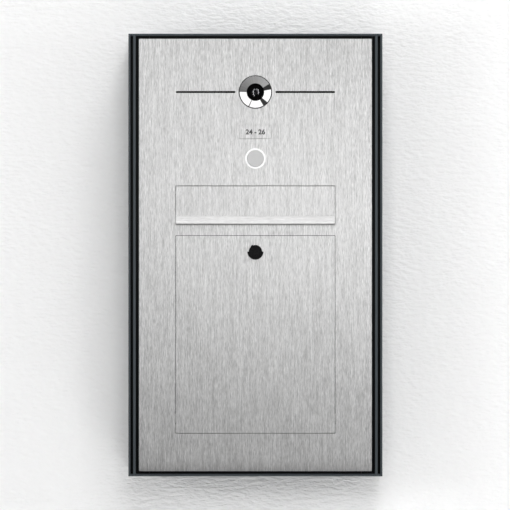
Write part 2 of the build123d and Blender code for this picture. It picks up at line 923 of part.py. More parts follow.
def camera_bezel():
    """The polished ring: a shallow funnel with a threaded neck through the plate."""
    rim_y = front_y - bezel_proud
    bore_y = bezel_bore_y()
    inner_wall = bezel_bore_radius + bezel_wall
    neck_inner = bezel_neck_radius - bezel_wall
    rim_inner = bezel_radius - bezel_rim
    slope = bezel_funnel_depth / (rim_inner - bezel_bore_radius)
    under_y = rim_y + (rim_inner - neck_inner) * slope + bezel_wall
    outline = [
        (bezel_radius, rim_y),
        (rim_inner, rim_y),
        (bezel_bore_radius, bore_y),
        (bezel_bore_radius, bezel_back_y()),
        (inner_wall, bezel_back_y()),
        (inner_wall, bore_y + bezel_wall),
        (neck_inner, under_y),
        (neck_inner, bezel_back_y()),
        (bezel_neck_radius, bezel_back_y()),
        (bezel_neck_radius, front_y),
        (bezel_radius, front_y),
    ]
    return turned(outline, 0, camera_height)


def camera_nut():
    nut = rod_y(0, camera_height, camera_nut_radius, plate_back_y, plate_back_y + camera_nut_height)
    bore = bezel_neck_radius + seat_gap
    return nut - rod_y(0, camera_height, bore, plate_back_y, plate_back_y + camera_nut_height)


def shroud_tube_back():
    return bezel_bore_y() + shroud_tube_length


def camera_shroud():
    """The black lens mount: a dished front, and a tube that carries the lens and its board."""
    front = bezel_bore_y() + edge_break
    outer = bezel_bore_radius - seat_gap
    step_y = bezel_back_y() - edge_break
    bore = lens_radius + seat_gap
    dish_y = front + bezel_wall
    outline = [
        (outer, front),
        (outer - edge_break, front),
        (bore + bezel_wall, dish_y),
        (bore, dish_y),
        (bore, shroud_tube_back()),
        (shroud_tube_radius, shroud_tube_back()),
        (shroud_tube_radius, step_y),
        (outer, step_y),
    ]
    return turned(outline, 0, camera_height)


def camera_lens():
    """The glass lens: a domed front on a straight body."""
    base_y = bezel_bore_y() + bezel_wall
    tip_y = base_y - lens_dome_height
    back_y = base_y + lens_body_length
    sphere = (lens_radius ** 2 + lens_dome_height ** 2) / (2 * lens_dome_height)
    half_turn = math.asin(lens_radius / sphere) / 2
    middle = (sphere * math.sin(half_turn), tip_y + sphere * (1 - math.cos(half_turn)))
    dome = ThreePointArc((0, tip_y), middle, (lens_radius, base_y))
    body = Polyline((lens_radius, base_y), (lens_radius, back_y), (0, back_y), (0, tip_y))
    return Pos(0, 0, camera_height) * revolve(make_face(dome + body), Axis.Y)


def camera_board():
    half = camera_board_size / 2
    front = shroud_tube_back()
    low = camera_height - half
    board = block(-half, half, front, front + board_thickness, low, low + camera_board_size)
    sensor = lens_radius * 0.6
    return board + block(-sensor, sensor, front - board_thickness, front, camera_height - sensor,
                         camera_height + sensor)


# Speaking parts --------------------------------------------------------


def slot_meshes():
    """Black acoustic mesh strips behind the two speaking slots."""
    length = slot_length + 2 * mesh_overlap
    height = slot_height + 2 * mesh_overlap
    strip = Pos(slot_centre, slot_height_z) * Rectangle(length, height)
    return group(both_sides(front_face(strip, plate_back_y, plate_back_y + mesh_thickness)))


def loudspeaker_basket():
    """The loudspeaker's frame with its magnet at the back."""
    front = plate_back_y + mesh_thickness
    flange_y = front + speaker_flange
    magnet_y = speaker_back_y - magnet_height
    rim = speaker_radius - housing_wall
    throat = magnet_radius - housing_wall
    outline = [
        (rim, front),
        (speaker_radius, front),
        (speaker_radius, flange_y),
        (rim + speaker_flange, flange_y),
        (magnet_radius, magnet_y),
        (magnet_radius, speaker_back_y),
        (0, speaker_back_y),
        (0, magnet_y),
        (throat, magnet_y),
        (rim, flange_y),
    ]
    return turned(outline, -slot_centre, slot_height_z)


def loudspeaker_cone():
    front = plate_back_y + mesh_thickness + speaker_flange
    magnet_y = speaker_back_y - magnet_height
    rim = speaker_radius - housing_wall
    throat = magnet_radius - housing_wall
    paper = mesh_thickness
    outline = [
        (0, magnet_y - seat_gap),
        (throat - seat_gap, magnet_y - seat_gap),
        (rim - seat_gap, front),
        (rim - seat_gap, front - paper),
        (throat - paper, magnet_y - 2 * paper),
        (0, magnet_y - 2 * paper),
    ]
    return turned(outline, -slot_centre, slot_height_z)


def microphone():
    back = boot_back_y - board_thickness
    return rod_y(slot_centre, slot_height_z, microphone_radius, back - microphone_height, back)


def microphone_boot():
    """The rubber boot that seals the microphone to the slot."""
    front = plate_back_y + mesh_thickness
    back = boot_back_y - board_thickness
    boot = rod_y(slot_centre, slot_height_z, boot_radius, front, boot_back_y)
    bore = microphone_radius + seat_gap
    boot -= rod_y(slot_centre, slot_height_z, bore, back - microphone_height, boot_back_y)
    return boot - rod_y(slot_centre, slot_height_z, slot_height / 2, front, back - microphone_height)


# Intercom electronics --------------------------------------------------


def intercom_housing():
    """The plastic tray over the camera and the speaking parts, with posts for what it holds."""
    half_w = housing_width / 2
    low = slot_height_z - housing_height / 2
    high = slot_height_z + housing_height / 2
    tray = block(-half_w, half_w, plate_back_y, housing_back_y, low, high)
    wall = housing_wall
    floor_y = housing_back_y - wall
    tray -= block(-half_w + wall, half_w - wall, plate_back_y, floor_y, low + wall, high - wall)
    ear_y = plate_back_y + housing_ear / 4
    for side in (-1, 1):
        ear = block(side * half_w, side * (half_w + housing_ear), plate_back_y, ear_y,
                    slot_height_z - housing_ear / 2, slot_height_z + housing_ear / 2)
        tray += ear - rod_y(side * housing_stud_x, slot_height_z, m3_radius + hole_clearance,
                            plate_back_y, ear_y)
    tray += post(-slot_centre, slot_height_z, magnet_radius, speaker_back_y)
    tray += post(slot_centre, slot_height_z, boot_radius, boot_back_y)
    for x, z in board_screw_places():
        post_y = board_y + board_thickness
        tray += post(x, z, m3_radius + wall, post_y)
        tray -= rod_y(x, z, m3_radius + seat_gap, post_y, floor_y)
    return tray


def post(x, z, radius, front):
    """A hollow post from the tray's floor forward to what it carries."""
    floor_y = housing_back_y - housing_wall
    sleeve = rod_y(x, z, radius, front, floor_y)
    if radius > magnet_radius / 2:
        sleeve -= rod_y(x, z, radius - housing_wall, front, floor_y)
    return sleeve


def board_screw_places():
    half_w = main_board_width / 2 - 2 * m3_radius
    half_h = main_board_height / 2 - 2 * m3_radius
    return [(x, slot_height_z + z) for x in (-half_w, half_w) for z in (-half_h, half_h)]


def main_board():
    """The intercom's circuit board with its larger parts."""
    half_w = main_board_width / 2
    half_h = main_board_height / 2
    z = slot_height_z
    board = block(-half_w, half_w, board_y, board_y + board_thickness, z - half_h, z + half_h)
    for x, dz, w, h, tall in board_parts():
        board += block(x - w / 2, x + w / 2, board_y - tall, board_y, z + dz - h / 2, z + dz + h / 2)
    for x, height in board_screw_places():
        board -= rod_y(x, height, m3_radius + hole_clearance, board_y, board_y + board_thickness)
    return board


def board_parts():
    """Centre, size and height of the processor, the memory, two coils and a plug."""
    unit = main_board_height / 6
    return [
        (-2 * unit, 0, 1.6 * unit, 1.6 * unit, 1.2),
        (0, unit, unit, 1.4 * unit, 1.0),
        (1.5 * unit, -unit, unit, unit, 4.0),
        (3 * unit, -unit, unit, unit, 4.0),
        (2.4 * unit, 1.2 * unit, 2 * unit, 0.6 * unit, 5.0),
    ]


def board_screws():
    screws = []
    for x, z in board_screw_places():
        screw = rod_y(x, z, m3_radius, board_y, board_y + screw_length * 0.6)
        screws.append(screw + rod_y(x, z, m3_radius * 2, board_y - m3_radius, board_y))
    return group(screws)


def terminal_block():
    """The screw terminals on the back of the tray, where the house wires end."""
    width, depth, height = terminal_size
    low = slot_height_z - height / 2
    body = block(-width / 2, width / 2, housing_back_y, housing_back_y + depth, low, low + height)
    count = 6
    pitch = width / count
    for index in range(count):
        x = -width / 2 + pitch * (index + 0.5)
        body -= rod_y(x, low + height * 0.65, m3_radius, housing_back_y + depth / 2, housing_back_y + depth)
    return body


# Name plate ------------------------------------------------------------


def name_plate():
    """The exchangeable blank plate, flush in its window."""
    width = name_opening_width - 2 * name_gap
    height = name_opening_height - 2 * name_gap
    face = Pos(0, name_height) * RectangleRounded(width, height, opening_corner_radius - name_gap)
    return front_face(face, front_y, plate_back_y)


def name_plate_holder():
    face = Pos(0, name_height) * Rectangle(name_holder_width, name_holder_height)
    holder = front_face(face, plate_back_y, plate_back_y + name_holder_thickness)
    for side in (-1, 1):
        holder -= rod_y(side * name_stud_spacing / 2, name_height, m3_radius + hole_clearance,
                        plate_back_y, plate_back_y + name_holder_thickness)
    return holder


# Bell button -----------------------------------------------------------


def bell_light_ring():
    """The clear ring round the button that spreads the light, with a flange behind the plate."""
    ring_y = front_y - bell_ring_proud
    outline = [
        (bell_ring_inner, ring_y),
        (bell_ring_radius, ring_y),
        (bell_ring_radius, plate_back_y),
        (bell_ring_flange, plate_back_y),
        (bell_ring_flange, bell_flange_y),
        (bell_ring_inner, bell_flange_y),
    ]
    return turned(outline, 0, bell_height)


def bell_seat_y():
    """The front of the button's flange, just behind the light ring."""
    return bell_flange_y + bell_moving_gap


def bell_cap():
    """The pressed part: a cap, a retaining flange behind the ring, and a plunger."""
    cap_y = front_y - bell_cap_proud
    radius = bell_ring_inner - bell_moving_gap
    skirt = radius - bell_cap_wall
    flange_back = bell_seat_y() + bell_cap_wall
    tip = bell_housing_back_y - bell_travel - stop_gap
    outline = [
        (0, cap_y),
        (radius - edge_break, cap_y),
        (radius, cap_y + edge_break),
        (radius, bell_seat_y()),
        (bell_cap_flange, bell_seat_y()),
        (bell_cap_flange, flange_back),
        (skirt, flange_back),
        (skirt, cap_y + bell_cap_wall),
        (bell_plunger_radius, cap_y + bell_cap_wall),
        (bell_plunger_radius, tip),
        (0, tip),
    ]
    return turned(outline, 0, bell_height)


def bell_housing():
    """The cup behind the button, held by two studs, with a hole for the plunger."""
    radius = bell_housing_radius
    inner = radius - bell_housing_wall
    cup = rod_y(0, bell_height, radius, bell_flange_y, bell_housing_back_y)
    floor_y = bell_housing_back_y - housing_wall
    cup -= rod_y(0, bell_height, inner, bell_flange_y, floor_y)
    ear_end = bell_stud_x + 2 * m3_radius + hole_clearance
    ear_y = bell_flange_y + housing_wall
    for side in (-1, 1):
        ear = block(side * (radius - housing_wall), side * ear_end, bell_flange_y, ear_y,
                    bell_height - 2 * housing_wall, bell_height + 2 * housing_wall)
        cup += ear - rod_y(side * bell_stud_x, bell_height, m3_radius + hole_clearance, bell_flange_y, ear_y)
        foot = block(side * (bell_stud_x - m3_radius - housing_wall), side * ear_end, plate_back_y,
                     bell_flange_y, bell_height - 2 * housing_wall, bell_height + 2 * housing_wall)
        cup += foot - rod_y(side * bell_stud_x, bell_height, m3_radius + hole_clearance, plate_back_y,
                            bell_flange_y)
    hole = bell_plunger_radius + bell_moving_gap
    return cup - rod_y(0, bell_height, hole, floor_y, bell_housing_back_y)


def bell_board():
    """The ring of light-emitting diodes on its board in the cup's floor."""
    outer = bell_housing_radius - bell_housing_wall - seat_gap
    back = bell_housing_back_y - housing_wall
    front = back - board_thickness
    board = rod_y(0, bell_height, outer, front, back)
    count = 8
    for index in range(count):
        turn = math.radians(360 / count * index)
        x = (outer - housing_wall) * math.cos(turn)
        z = bell_height + (outer - housing_wall) * math.sin(turn)
        board += rod_y(x, z, m3_radius * 0.8, front - board_thickness, front)
    return board - rod_y(0, bell_height, bell_spring_radius + 3 * bell_wire_radius, front, back)


def bell_spring():
    """The coil that returns the button, between the cap and the cup's floor."""
    start = front_y - bell_cap_proud + bell_cap_wall + bell_wire_radius + seat_gap
    end = bell_housing_back_y - housing_wall - bell_wire_radius - seat_gap
    length = end - start
    coil = Helix(length / bell_spring_turns, length, bell_spring_radius)
    wire = Plane(coil @ 0, z_dir=coil % 0) * Circle(bell_wire_radius)
    spring = sweep(wire, path=coil, is_frenet=True)
    return Pos(0, start, bell_height) * Rot(-90, 0, 0) * spring


def bell_switch():
    """The micro switch behind the cup, pressed by the plunger's tip."""
    width, depth, height = switch_size
    front = bell_housing_back_y
    return block(-width / 2, width / 2, front, front + depth, bell_height - height / 2,
                 bell_height + height / 2)


parts = {
    "side_profile_left": side_profile_left,
    "side_profile_right": side_profile_right,
    "top_cap": top_cap,
    "bottom_cap": bottom_cap,
    "flat_head_screws": flat_head_screws,
    "top_rail": top_rail,
    "bottom_rail": bottom_rail,
    "back_panel": back_panel,
    "cable_grommet": cable_grommet,
    "divider_shelf": divider_shelf,
    "mail_floor": mail_floor,
    "shelf_rivets": shelf_rivets,
    "front_plate": front_plate,
    "plate_seal": plate_seal,
    "plate_studs": plate_studs,
    "stud_nuts": stud_nuts,
    "plate_spacers": plate_spacers,
    "plate_hooks": plate_hooks,
    "letter_flap": letter_flap,
    "flap_hinge_rod": flap_hinge_rod,
    "flap_hinge_brackets": flap_hinge_brackets,
    "flap_stops": flap_stops,
    "flap_bumpers": flap_bumpers,
    "letter_guide": letter_guide,
    "door_panel": door_panel,
    "door_hinge_rod": door_hinge_rod,
    "door_hinge_brackets": door_hinge_brackets,
    "door_hinge_bushes": door_hinge_bushes,
    "door_surround": door_surround,
    "door_seal": door_seal,
    "lock_barrel": lock_barrel,
    "lock_nut": lock_nut,
    "lock_plug": lock_plug,
    "lock_cam": lock_cam,
    "cam_screw": cam_screw,
    "keyhole_cover": keyhole_cover,
    "cover_rivet": cover_rivet,
    "camera_bezel": camera_bezel,
    "camera_nut": camera_nut,
    "camera_shroud": camera_shroud,
    "camera_lens": camera_lens,
    "camera_board": camera_board,
    "slot_meshes": slot_meshes,
    "loudspeaker_basket": loudspeaker_basket,
    "loudspeaker_cone": loudspeaker_cone,
    "microphone": microphone,
    "microphone_boot": microphone_boot,
    "intercom_housing": intercom_housing,
    "main_board": main_board,
    "board_screws": board_screws,
    "terminal_block": terminal_block,
    "name_plate": name_plate,
    "name_plate_holder": name_plate_holder,
    "bell_light_ring": bell_light_ring,
    "bell_cap": bell_cap,
    "bell_housing": bell_housing,
    "bell_board": bell_board,
    "bell_spring": bell_spring,
    "bell_switch": bell_switch,
}

os.makedirs("parts", exist_ok=True)
for name, make in parts.items():
    export_step(make(), f"parts/{name}.step")
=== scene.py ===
import math
import bmesh
import bpy
from mathutils import Matrix, Vector


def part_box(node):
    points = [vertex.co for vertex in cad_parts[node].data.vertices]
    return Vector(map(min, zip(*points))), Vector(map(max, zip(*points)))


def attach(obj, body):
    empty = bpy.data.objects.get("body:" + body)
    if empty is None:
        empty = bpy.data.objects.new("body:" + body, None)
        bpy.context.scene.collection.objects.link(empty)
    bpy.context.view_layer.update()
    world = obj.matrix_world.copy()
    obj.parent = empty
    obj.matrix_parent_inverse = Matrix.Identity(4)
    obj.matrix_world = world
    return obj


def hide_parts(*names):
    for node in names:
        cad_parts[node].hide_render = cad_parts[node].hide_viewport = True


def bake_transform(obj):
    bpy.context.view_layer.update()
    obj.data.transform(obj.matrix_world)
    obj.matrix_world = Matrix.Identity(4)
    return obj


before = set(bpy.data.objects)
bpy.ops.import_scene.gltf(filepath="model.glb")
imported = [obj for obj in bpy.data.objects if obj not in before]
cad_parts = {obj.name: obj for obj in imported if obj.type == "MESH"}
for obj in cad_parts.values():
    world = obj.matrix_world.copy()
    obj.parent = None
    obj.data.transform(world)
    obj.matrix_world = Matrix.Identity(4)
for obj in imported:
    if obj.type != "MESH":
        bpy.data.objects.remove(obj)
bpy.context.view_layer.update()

# Side profiles, caps and corner rails. The housing is two extruded aluminium sides closed by
# flat caps, with an angle along each short edge behind the plate. All of it is powder-coated
# in anthracite with a fine sandy texture, and screwed together through the caps.

mm = 0.001


class Wire:
    """A socket that is written like a number: an operator between wires adds its Math node."""

    def __init__(self, tree, socket=None):
        self.tree = tree
        self.socket = socket

    def node(self, kind, settings=None, sockets=None, output=0):
        """Add a node of any kind: its settings first, then values or wires for its sockets."""
        made = self.tree.nodes.new("ShaderNode" + kind)
        for name, value in (settings or {}).items():
            if name == "stops":
                stops = made.color_ramp.elements
                for index, (place, shade) in enumerate(value):
                    stop = stops[index] if index < len(stops) else stops.new(place)
                    stop.position = place
                    stop.color = shade
            else:
                setattr(made, name, value)
        for name, value in (sockets or {}).items():
            if isinstance(value, Wire):
                self.tree.links.new(value.socket, made.inputs[name])
            else:
                made.inputs[name].default_value = value
        return Wire(self.tree, made.outputs[output] if made.outputs else None)

    def math(self, operation, first, second):
        return self.node("Math", {"operation": operation}, {0: first, 1: second})

    def __add__(self, other):
        return self.math("ADD", self, other)

    __radd__ = __add__

    def __mul__(self, other):
        return self.math("MULTIPLY", self, other)

    __rmul__ = __mul__

    def __sub__(self, other):
        return self.math("SUBTRACT", self, other)

    def __rsub__(self, other):
        return self.math("SUBTRACT", other, self)

    def __pow__(self, other):
        return self.math("POWER", self, other)

    def __gt__(self, other):
        return self.math("GREATER_THAN", self, other)

    def __lt__(self, other):
        return self.math("LESS_THAN", self, other)

    def larger(self, other):
        return self.math("MAXIMUM", self, other)

    def point(self):
        return self.node("TexCoord", output="Object")

    def axis(self, letter):
        return self.node("SeparateXYZ", sockets={0: self.point()}, output="XYZ".index(letter))

    def cells(self, size, vector=None):
        """Object coordinates divided so that one unit is size metres."""
        sockets = {"Vector": vector or self.point(), "Scale": [1 / part for part in size]}
        return self.node("Mapping", sockets=sockets)

    def noise(self, size, detail=2, roughness=0.5, vector=None):
        """Cloudy values round 0.5 whose features are about size metres."""
        return self.node("TexNoise", sockets={"Vector": self.cells(size, vector), "Scale": 1.0,
                                              "Detail": detail, "Roughness": roughness})

    def blend(self, factor, low, high):
        """A colour between low and high."""
        return self.node("Mix", {"data_type": "RGBA"}, {0: factor, 6: low, 7: high}, output=2)

    def bump(self, height, depth, below=None):
        """A relief whose full height is depth metres, laid over an earlier one."""
        sockets = {"Height": height, "Strength": 1.0, "Distance": depth}
        if below:
            sockets["Normal"] = below
        return self.node("Bump", sockets=sockets)


def start(name):
    """A new empty material, and the wire that its nodes are added through."""
    material = bpy.data.materials.new(name)
    material.use_nodes = True
    material.node_tree.nodes.clear()
    return material, Wire(material.node_tree)


def grey(level, tint=(1, 1, 1)):
    """A neutral colour, or a slightly tinted one."""
    return tuple(level * part for part in tint) + (1,)


def surface(wire, sockets):
    """End a material in the main shader with these sockets."""
    shader = wire.node("BsdfPrincipled", sockets=sockets)
    wire.node("OutputMaterial", sockets={"Surface": shader})


def coat(material, *nodes):
    """Give CAD nodes this material."""
    for name in nodes:
        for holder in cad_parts[name].material_slots:
            holder.material = material


# how far behind the front the painted groove shade begins
groove_shade_inset = 1.0 * mm
outer_wall = 2.6 * mm
side_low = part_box("side_profile_left")[0]
lid_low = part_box("top_cap")[0]
groove_start = side_low.y + groove_shade_inset
groove_outer = -side_low.x - outer_wall
groove_end = lid_low.z - 0.05 * mm


def anthracite():
    """Sandy powder coat. Deep in the grooves the colour is painted near black, as painted shade."""
    material, wire = start("anthracite_powder_coat")
    sand = wire.noise((0.55 * mm, 0.55 * mm, 0.55 * mm), detail=3, roughness=0.6)
    peel = wire.noise((2.6 * mm, 2.6 * mm, 2.6 * mm), detail=1)
    dust = wire.noise((60 * mm, 60 * mm, 90 * mm), detail=3)
    shade = (sand - 0.5) * 0.5 + (dust - 0.5) * 0.35 + 0.5
    across = wire.node("Math", {"operation": "ABSOLUTE"}, {0: wire.axis("X")})
    upward = wire.node("Math", {"operation": "ABSOLUTE"}, {0: wire.axis("Z")})
    # painted shade: coated faces set back behind the front, inside the outer walls and between the
    # caps, are near black
    painted_groove_shade = (wire.axis("Y") > groove_start) * (across < groove_outer) * (upward < groove_end)
    lit = wire.blend(shade, (0.034, 0.041, 0.046, 1), (0.060, 0.071, 0.078, 1))
    surface(wire, {
        "Base Color": wire.blend(painted_groove_shade, lit, (0.0014, 0.0020, 0.0025, 1)),
        "Roughness": 0.42 + (sand - 0.5) * 0.25 + (dust - 0.5) * 0.15,
        "Specular IOR Level": 0.16,
        "Normal": wire.bump(sand, 0.035 * mm, wire.bump(peel, 0.05 * mm)),
    })
    return material


coat(anthracite(), "side_profile_left", "side_profile_right", "top_cap", "bottom_cap", "top_rail",
     "bottom_rail")


# Rear panel, divider shelf and mail floor. Cut and folded from plain stainless sheet, screwed
# and riveted together, with a rubber grommet where the wall's cable comes in.


def mill_sheet():
    """Rolled stainless sheet: a faint lengthwise grain, soft clouds and a few handling marks."""
    material, wire = start("mill_finished_sheet")
    roll = wire.noise((45 * mm, 1.2 * mm, 1.2 * mm), detail=3, roughness=0.6)
    cloud = wire.noise((35 * mm, 35 * mm, 35 * mm), detail=4, roughness=0.6)
    speck = wire.noise((1.1 * mm, 1.1 * mm, 1.1 * mm), detail=2)
    shade = (roll - 0.5) * 0.5 + (cloud - 0.5) * 0.7 + 0.5
    surface(wire, {
        "Base Color": wire.blend(shade, grey(0.41, (0.99, 1, 1.01)), grey(0.57, (0.99, 1, 1.01))),
        "Metallic": 1.0,
        "Roughness": 0.36 + (cloud - 0.5) * 0.3 + (speck - 0.5) * 0.08,
        "Normal": wire.bump(roll, 0.012 * mm, wire.bump(cloud, 0.25 * mm)),
    })
    return material


plain_sheet = mill_sheet()
coat(plain_sheet, "back_panel", "divider_shelf", "mail_floor")


def zinc():
    """Bright zinc plate: bluish silver with pale and faintly yellow patches."""
    material, wire = start("bright_zinc_plate")
    patch = wire.noise((3 * mm, 3 * mm, 3 * mm), detail=3, roughness=0.6)
    scratch = wire.noise((0.25 * mm, 0.9 * mm, 0.9 * mm), detail=2)
    surface(wire, {
        "Base Color": wire.blend(patch, (0.50, 0.52, 0.56, 1), (0.70, 0.69, 0.64, 1)),
        "Metallic": 1.0,
        "Roughness": 0.26 + (patch - 0.5) * 0.3 + (scratch - 0.5) * 0.15,
        "Normal": wire.bump(scratch, 0.01 * mm),
    })
    return material


zinc_plate = zinc()
coat(zinc_plate, "shelf_rivets")


def rubber(name, size, depth):
    """Black foam or moulded rubber, with closed cells of that size."""
    material, wire = start(name)
    cell = wire.node("TexVoronoi", {"feature": "F1"},
                     {"Vector": wire.cells((size, size, size)), "Scale": 1.0})
    cloud = wire.noise((14 * mm, 14 * mm, 14 * mm), detail=3)
    shade = cloud * 0.6 + cell * 0.4
    surface(wire, {
        "Base Color": wire.blend(shade, (0.004, 0.004, 0.0045, 1), (0.013, 0.013, 0.0135, 1)),
        "Roughness": 0.72 + (cloud - 0.5) * 0.2,
        "Specular IOR Level": 0.12,
        "Normal": wire.bump(cell, depth),
    })
    return material


moulded_rubber = rubber("moulded_rubber", 0.9 * mm, 0.05 * mm)
coat(moulded_rubber, "cable_grommet")


# Flat-headed screws. Twenty-two zinc-plated M4 screws with a hexagon socket hold the caps to
# the sides and rails, and the rear panel to the sides. Their heads lie flush in countersinks.

head_radius = 4.0 * mm
head_edge = 0.15 * mm
shank_radius = 2.0 * mm
screw_length = 10.0 * mm
tip_taper = 0.5 * mm
socket_radius = 1.45 * mm
socket_depth = 1.9 * mm
socket_flare = 1.12
socket_sides = 6
round_steps = 30
screw_spin = 37
weld = 0.001 * mm


def copied(node):
    """A CAD node's own mesh, to be worked on as a new shape."""
    bm = bmesh.new()
    bm.from_mesh(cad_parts[node].data)
    return bm


def solids(node):
    """The lowest and highest corner of each separate solid in a CAD node."""
    bm = copied(node)
    bmesh.ops.remove_doubles(bm, verts=bm.verts, dist=weld)
    left = set(bm.verts)
    found = []
    while left:
        reached = [left.pop()]
        for vert in reached:
            for edge in vert.link_edges:
                other = edge.other_vert(vert)
                if other in left:
                    left.remove(other)
                    reached.append(other)
        low = Vector([min(vert.co[i] for vert in reached) for i in range(3)])
        high = Vector([max(vert.co[i] for vert in reached) for i in range(3)])
        found.append((low, high))
    bm.free()
    return found


def loop(bm, count, radius, height):
    """A ring of vertices and edges round the Z axis."""
    made = bmesh.ops.create_circle(bm, segments=count, radius=radius, cap_ends=False,
                                   matrix=Matrix.Translation((0, 0, height)))
    return list({edge for vert in made["verts"] for edge in vert.link_edges})


def bridge(bm, *loops):
    """Skin one ring after another."""
    for first, second in zip(loops, loops[1:]):
        bmesh.ops.bridge_loops(bm, edges=first + second)


def screw_shape():
    """One screw with its head at z = 0 and its shank towards -Z."""
    bm = bmesh.new()
    floor = loop(bm, socket_sides, socket_radius, -socket_depth)
    mouth = loop(bm, socket_sides, socket_radius, -head_edge)
    brim = loop(bm, socket_sides, socket_radius * socket_flare, 0.0)
    edge = loop(bm, round_steps, head_radius - head_edge, 0.0)
    side = loop(bm, round_steps, head_radius, -head_edge)
    neck = loop(bm, round_steps, shank_radius, -head_radius + shank_radius)
    tail = loop(bm, round_steps, shank_radius, -screw_length + tip_taper)
    tip = loop(bm, round_steps, shank_radius - tip_taper, -screw_length)
    bridge(bm, floor, mouth, brim, edge, side, neck, tail, tip)
    bmesh.ops.contextual_create(bm, geom=floor)
    bmesh.ops.contextual_create(bm, geom=tip)
    bmesh.ops.recalc_face_normals(bm, faces=bm.faces)
    return bm


def build(bm, name, body, material, stands_for=(), crease=32):
    """Make the mesh an object, smooth up to its creases, that rides on its body if named."""
    mesh = bpy.data.meshes.new(name)
    bm.to_mesh(mesh)
    bm.free()
    mesh.materials.append(material)
    mesh.shade_smooth()
    mesh.set_sharp_from_angle(angle=math.radians(crease))
    piece = bpy.data.objects.new(name, mesh)
    bpy.context.scene.collection.objects.link(piece)
    if body:
        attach(piece, body)
    if stands_for:
        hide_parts(*stands_for)
    return piece


def repeated(shape, places):
    """Copies of one shape in one mesh, each moved by its matrix."""
    mesh = bpy.data.meshes.new("pattern")
    shape.to_mesh(mesh)
    shape.free()
    bm = bmesh.new()
    for place in places:
        first = len(bm.verts)
        bm.from_mesh(mesh)
        bm.verts.ensure_lookup_table()
        bmesh.ops.transform(bm, matrix=place, verts=bm.verts[first:])
    bpy.data.meshes.remove(mesh)
    return bm


def screw_places():
    """Each screw stands on the face that its head is flush with: a cap's, or the rear panel's."""
    places = []
    for number, (low, high) in enumerate(solids("flat_head_screws")):
        middle = (low + high) / 2
        if high.y - low.y > high.z - low.z:
            head = Vector((middle.x, high.y, middle.z))
            tilt = Matrix.Rotation(math.radians(-90), 4, "X")
        elif middle.z > 0:
            head = Vector((middle.x, middle.y, high.z))
            tilt = Matrix.Identity(4)
        else:
            head = Vector((middle.x, middle.y, low.z))
            tilt = Matrix.Rotation(math.pi, 4, "X")
        spin = Matrix.Rotation(math.radians(screw_spin * number), 4, "Z")
        places.append(Matrix.Translation(head) @ tilt @ spin)
    return places


build(repeated(screw_shape(), screw_places()), "flat_head_screws_socketed", "housing",
      zinc_plate, ["flat_head_screws"])


# Foam seal and front plate. The plate is 2 mm stainless steel, laser-cut and brushed from top
# to bottom, and presses a closed-cell foam profile against the ledges.

coat(rubber("closed_cell_foam", 1.3 * mm, 0.25 * mm), "plate_seal")
plate_low, plate_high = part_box("front_plate")
flap_low, flap_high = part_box("letter_flap")
# Painted shade on the brushed steel: darker towards the plate's foot, and a painted shadow band
# just under the flap's lip.
foot_shade_height = 25 * mm
lip_shadow_top = flap_low.z - 0.2 * mm
lip_shadow_bottom = flap_low.z - 4.5 * mm
lip_shadow_half_width = flap_high.x


def brushed(name, cross_below=None):
    """Steel brushed along Z, or along X below cross_below, with painted shade towards the plate's
    foot and a painted shadow under the flap's lip.
    """
    material, wire = start(name)
    point = wire.point()
    if cross_below is not None:
        turned = wire.node("VectorRotate", {"rotation_type": "Y_AXIS"},
                           {"Vector": point, "Angle": math.pi / 2})
        below = wire.axis("Z") < cross_below
        point = wire.node("Mix", {"data_type": "VECTOR"}, {0: below, 4: point, 5: turned}, output=1)
    hair = wire.noise((0.95 * mm, 0.95 * mm, 12 * mm), detail=3, roughness=0.62, vector=point)
    long_hair = wire.noise((0.8 * mm, 0.8 * mm, 44 * mm), detail=3, roughness=0.6, vector=point)
    fine = wire.noise((0.4 * mm, 0.4 * mm, 6 * mm), detail=2, vector=point)
    streak = wire.noise((7 * mm, 7 * mm, 90 * mm), detail=3, roughness=0.55, vector=point)
    cloud = wire.noise((90 * mm, 90 * mm, 160 * mm), detail=2)
    depth, tone = 1.0, 0.5
    # painted shade: below the fold the lip's colour is a little darker, against the overhead light
    # its upturned face catches
    if cross_below is not None:
        depth, tone = 1 - below * 0.55, 0.5 - below * 0.07
    lines = (hair - 0.5) * 1.85 + (long_hair - 0.5) * 1.3
    lines = lines + (fine - 0.5) * 1.6 + (streak - 0.5) * 0.4
    shade = lines * depth + (cloud - 0.5) * 0.12 + tone
    upward = wire.axis("Z")
    # painted shade: the colour darkens towards black over the lowest 25 mm of the plate
    foot = ((plate_low.z + foot_shade_height - upward) * (1 / foot_shade_height)).larger(0) ** 2
    # painted shadow: a dark band just below the flap's lip, across the flap's width
    painted_lip_shadow = ((upward - lip_shadow_bottom) * (1 / (lip_shadow_top - lip_shadow_bottom))).larger(0) ** 1.5
    painted_lip_shadow = painted_lip_shadow * (upward < lip_shadow_top) * (wire.axis("X") ** 2 < lip_shadow_half_width ** 2)
    metal = wire.blend(shade, grey(0.40), grey(0.84, (1, 0.998, 0.994)))
    surface(wire, {
        "Base Color": wire.blend(foot * 0.3 + painted_lip_shadow * 0.45, metal, grey(0.0)),
        "Metallic": 1.0,
        "Roughness": 0.44 + (hair - 0.5) * 0.3 + (streak - 0.5) * 0.12,
        "Normal": wire.bump(hair, 0.03 * mm, wire.bump(streak, 0.02 * mm)),
    })
    return material


def resized_rim(bm, growth, reach=1.6 * mm, corner=1.25 * mm):
    """Move the rim of a front sheet outward along each axis by its growth, or inward below zero."""
    for axis, length in growth.items():
        places = [vert.co[axis] for vert in bm.verts]
        for side, edge in ((-1, min(places)), (1, max(places))):
            step = Vector((0, 0, 0))
            step[axis] = side * length
            bmesh.ops.translate(bm, vec=step, verts=[
                vert for vert in bm.verts
                if vert.co.y < plate_low.y + reach and side * (vert.co[axis] - edge) > -corner])
    return bm


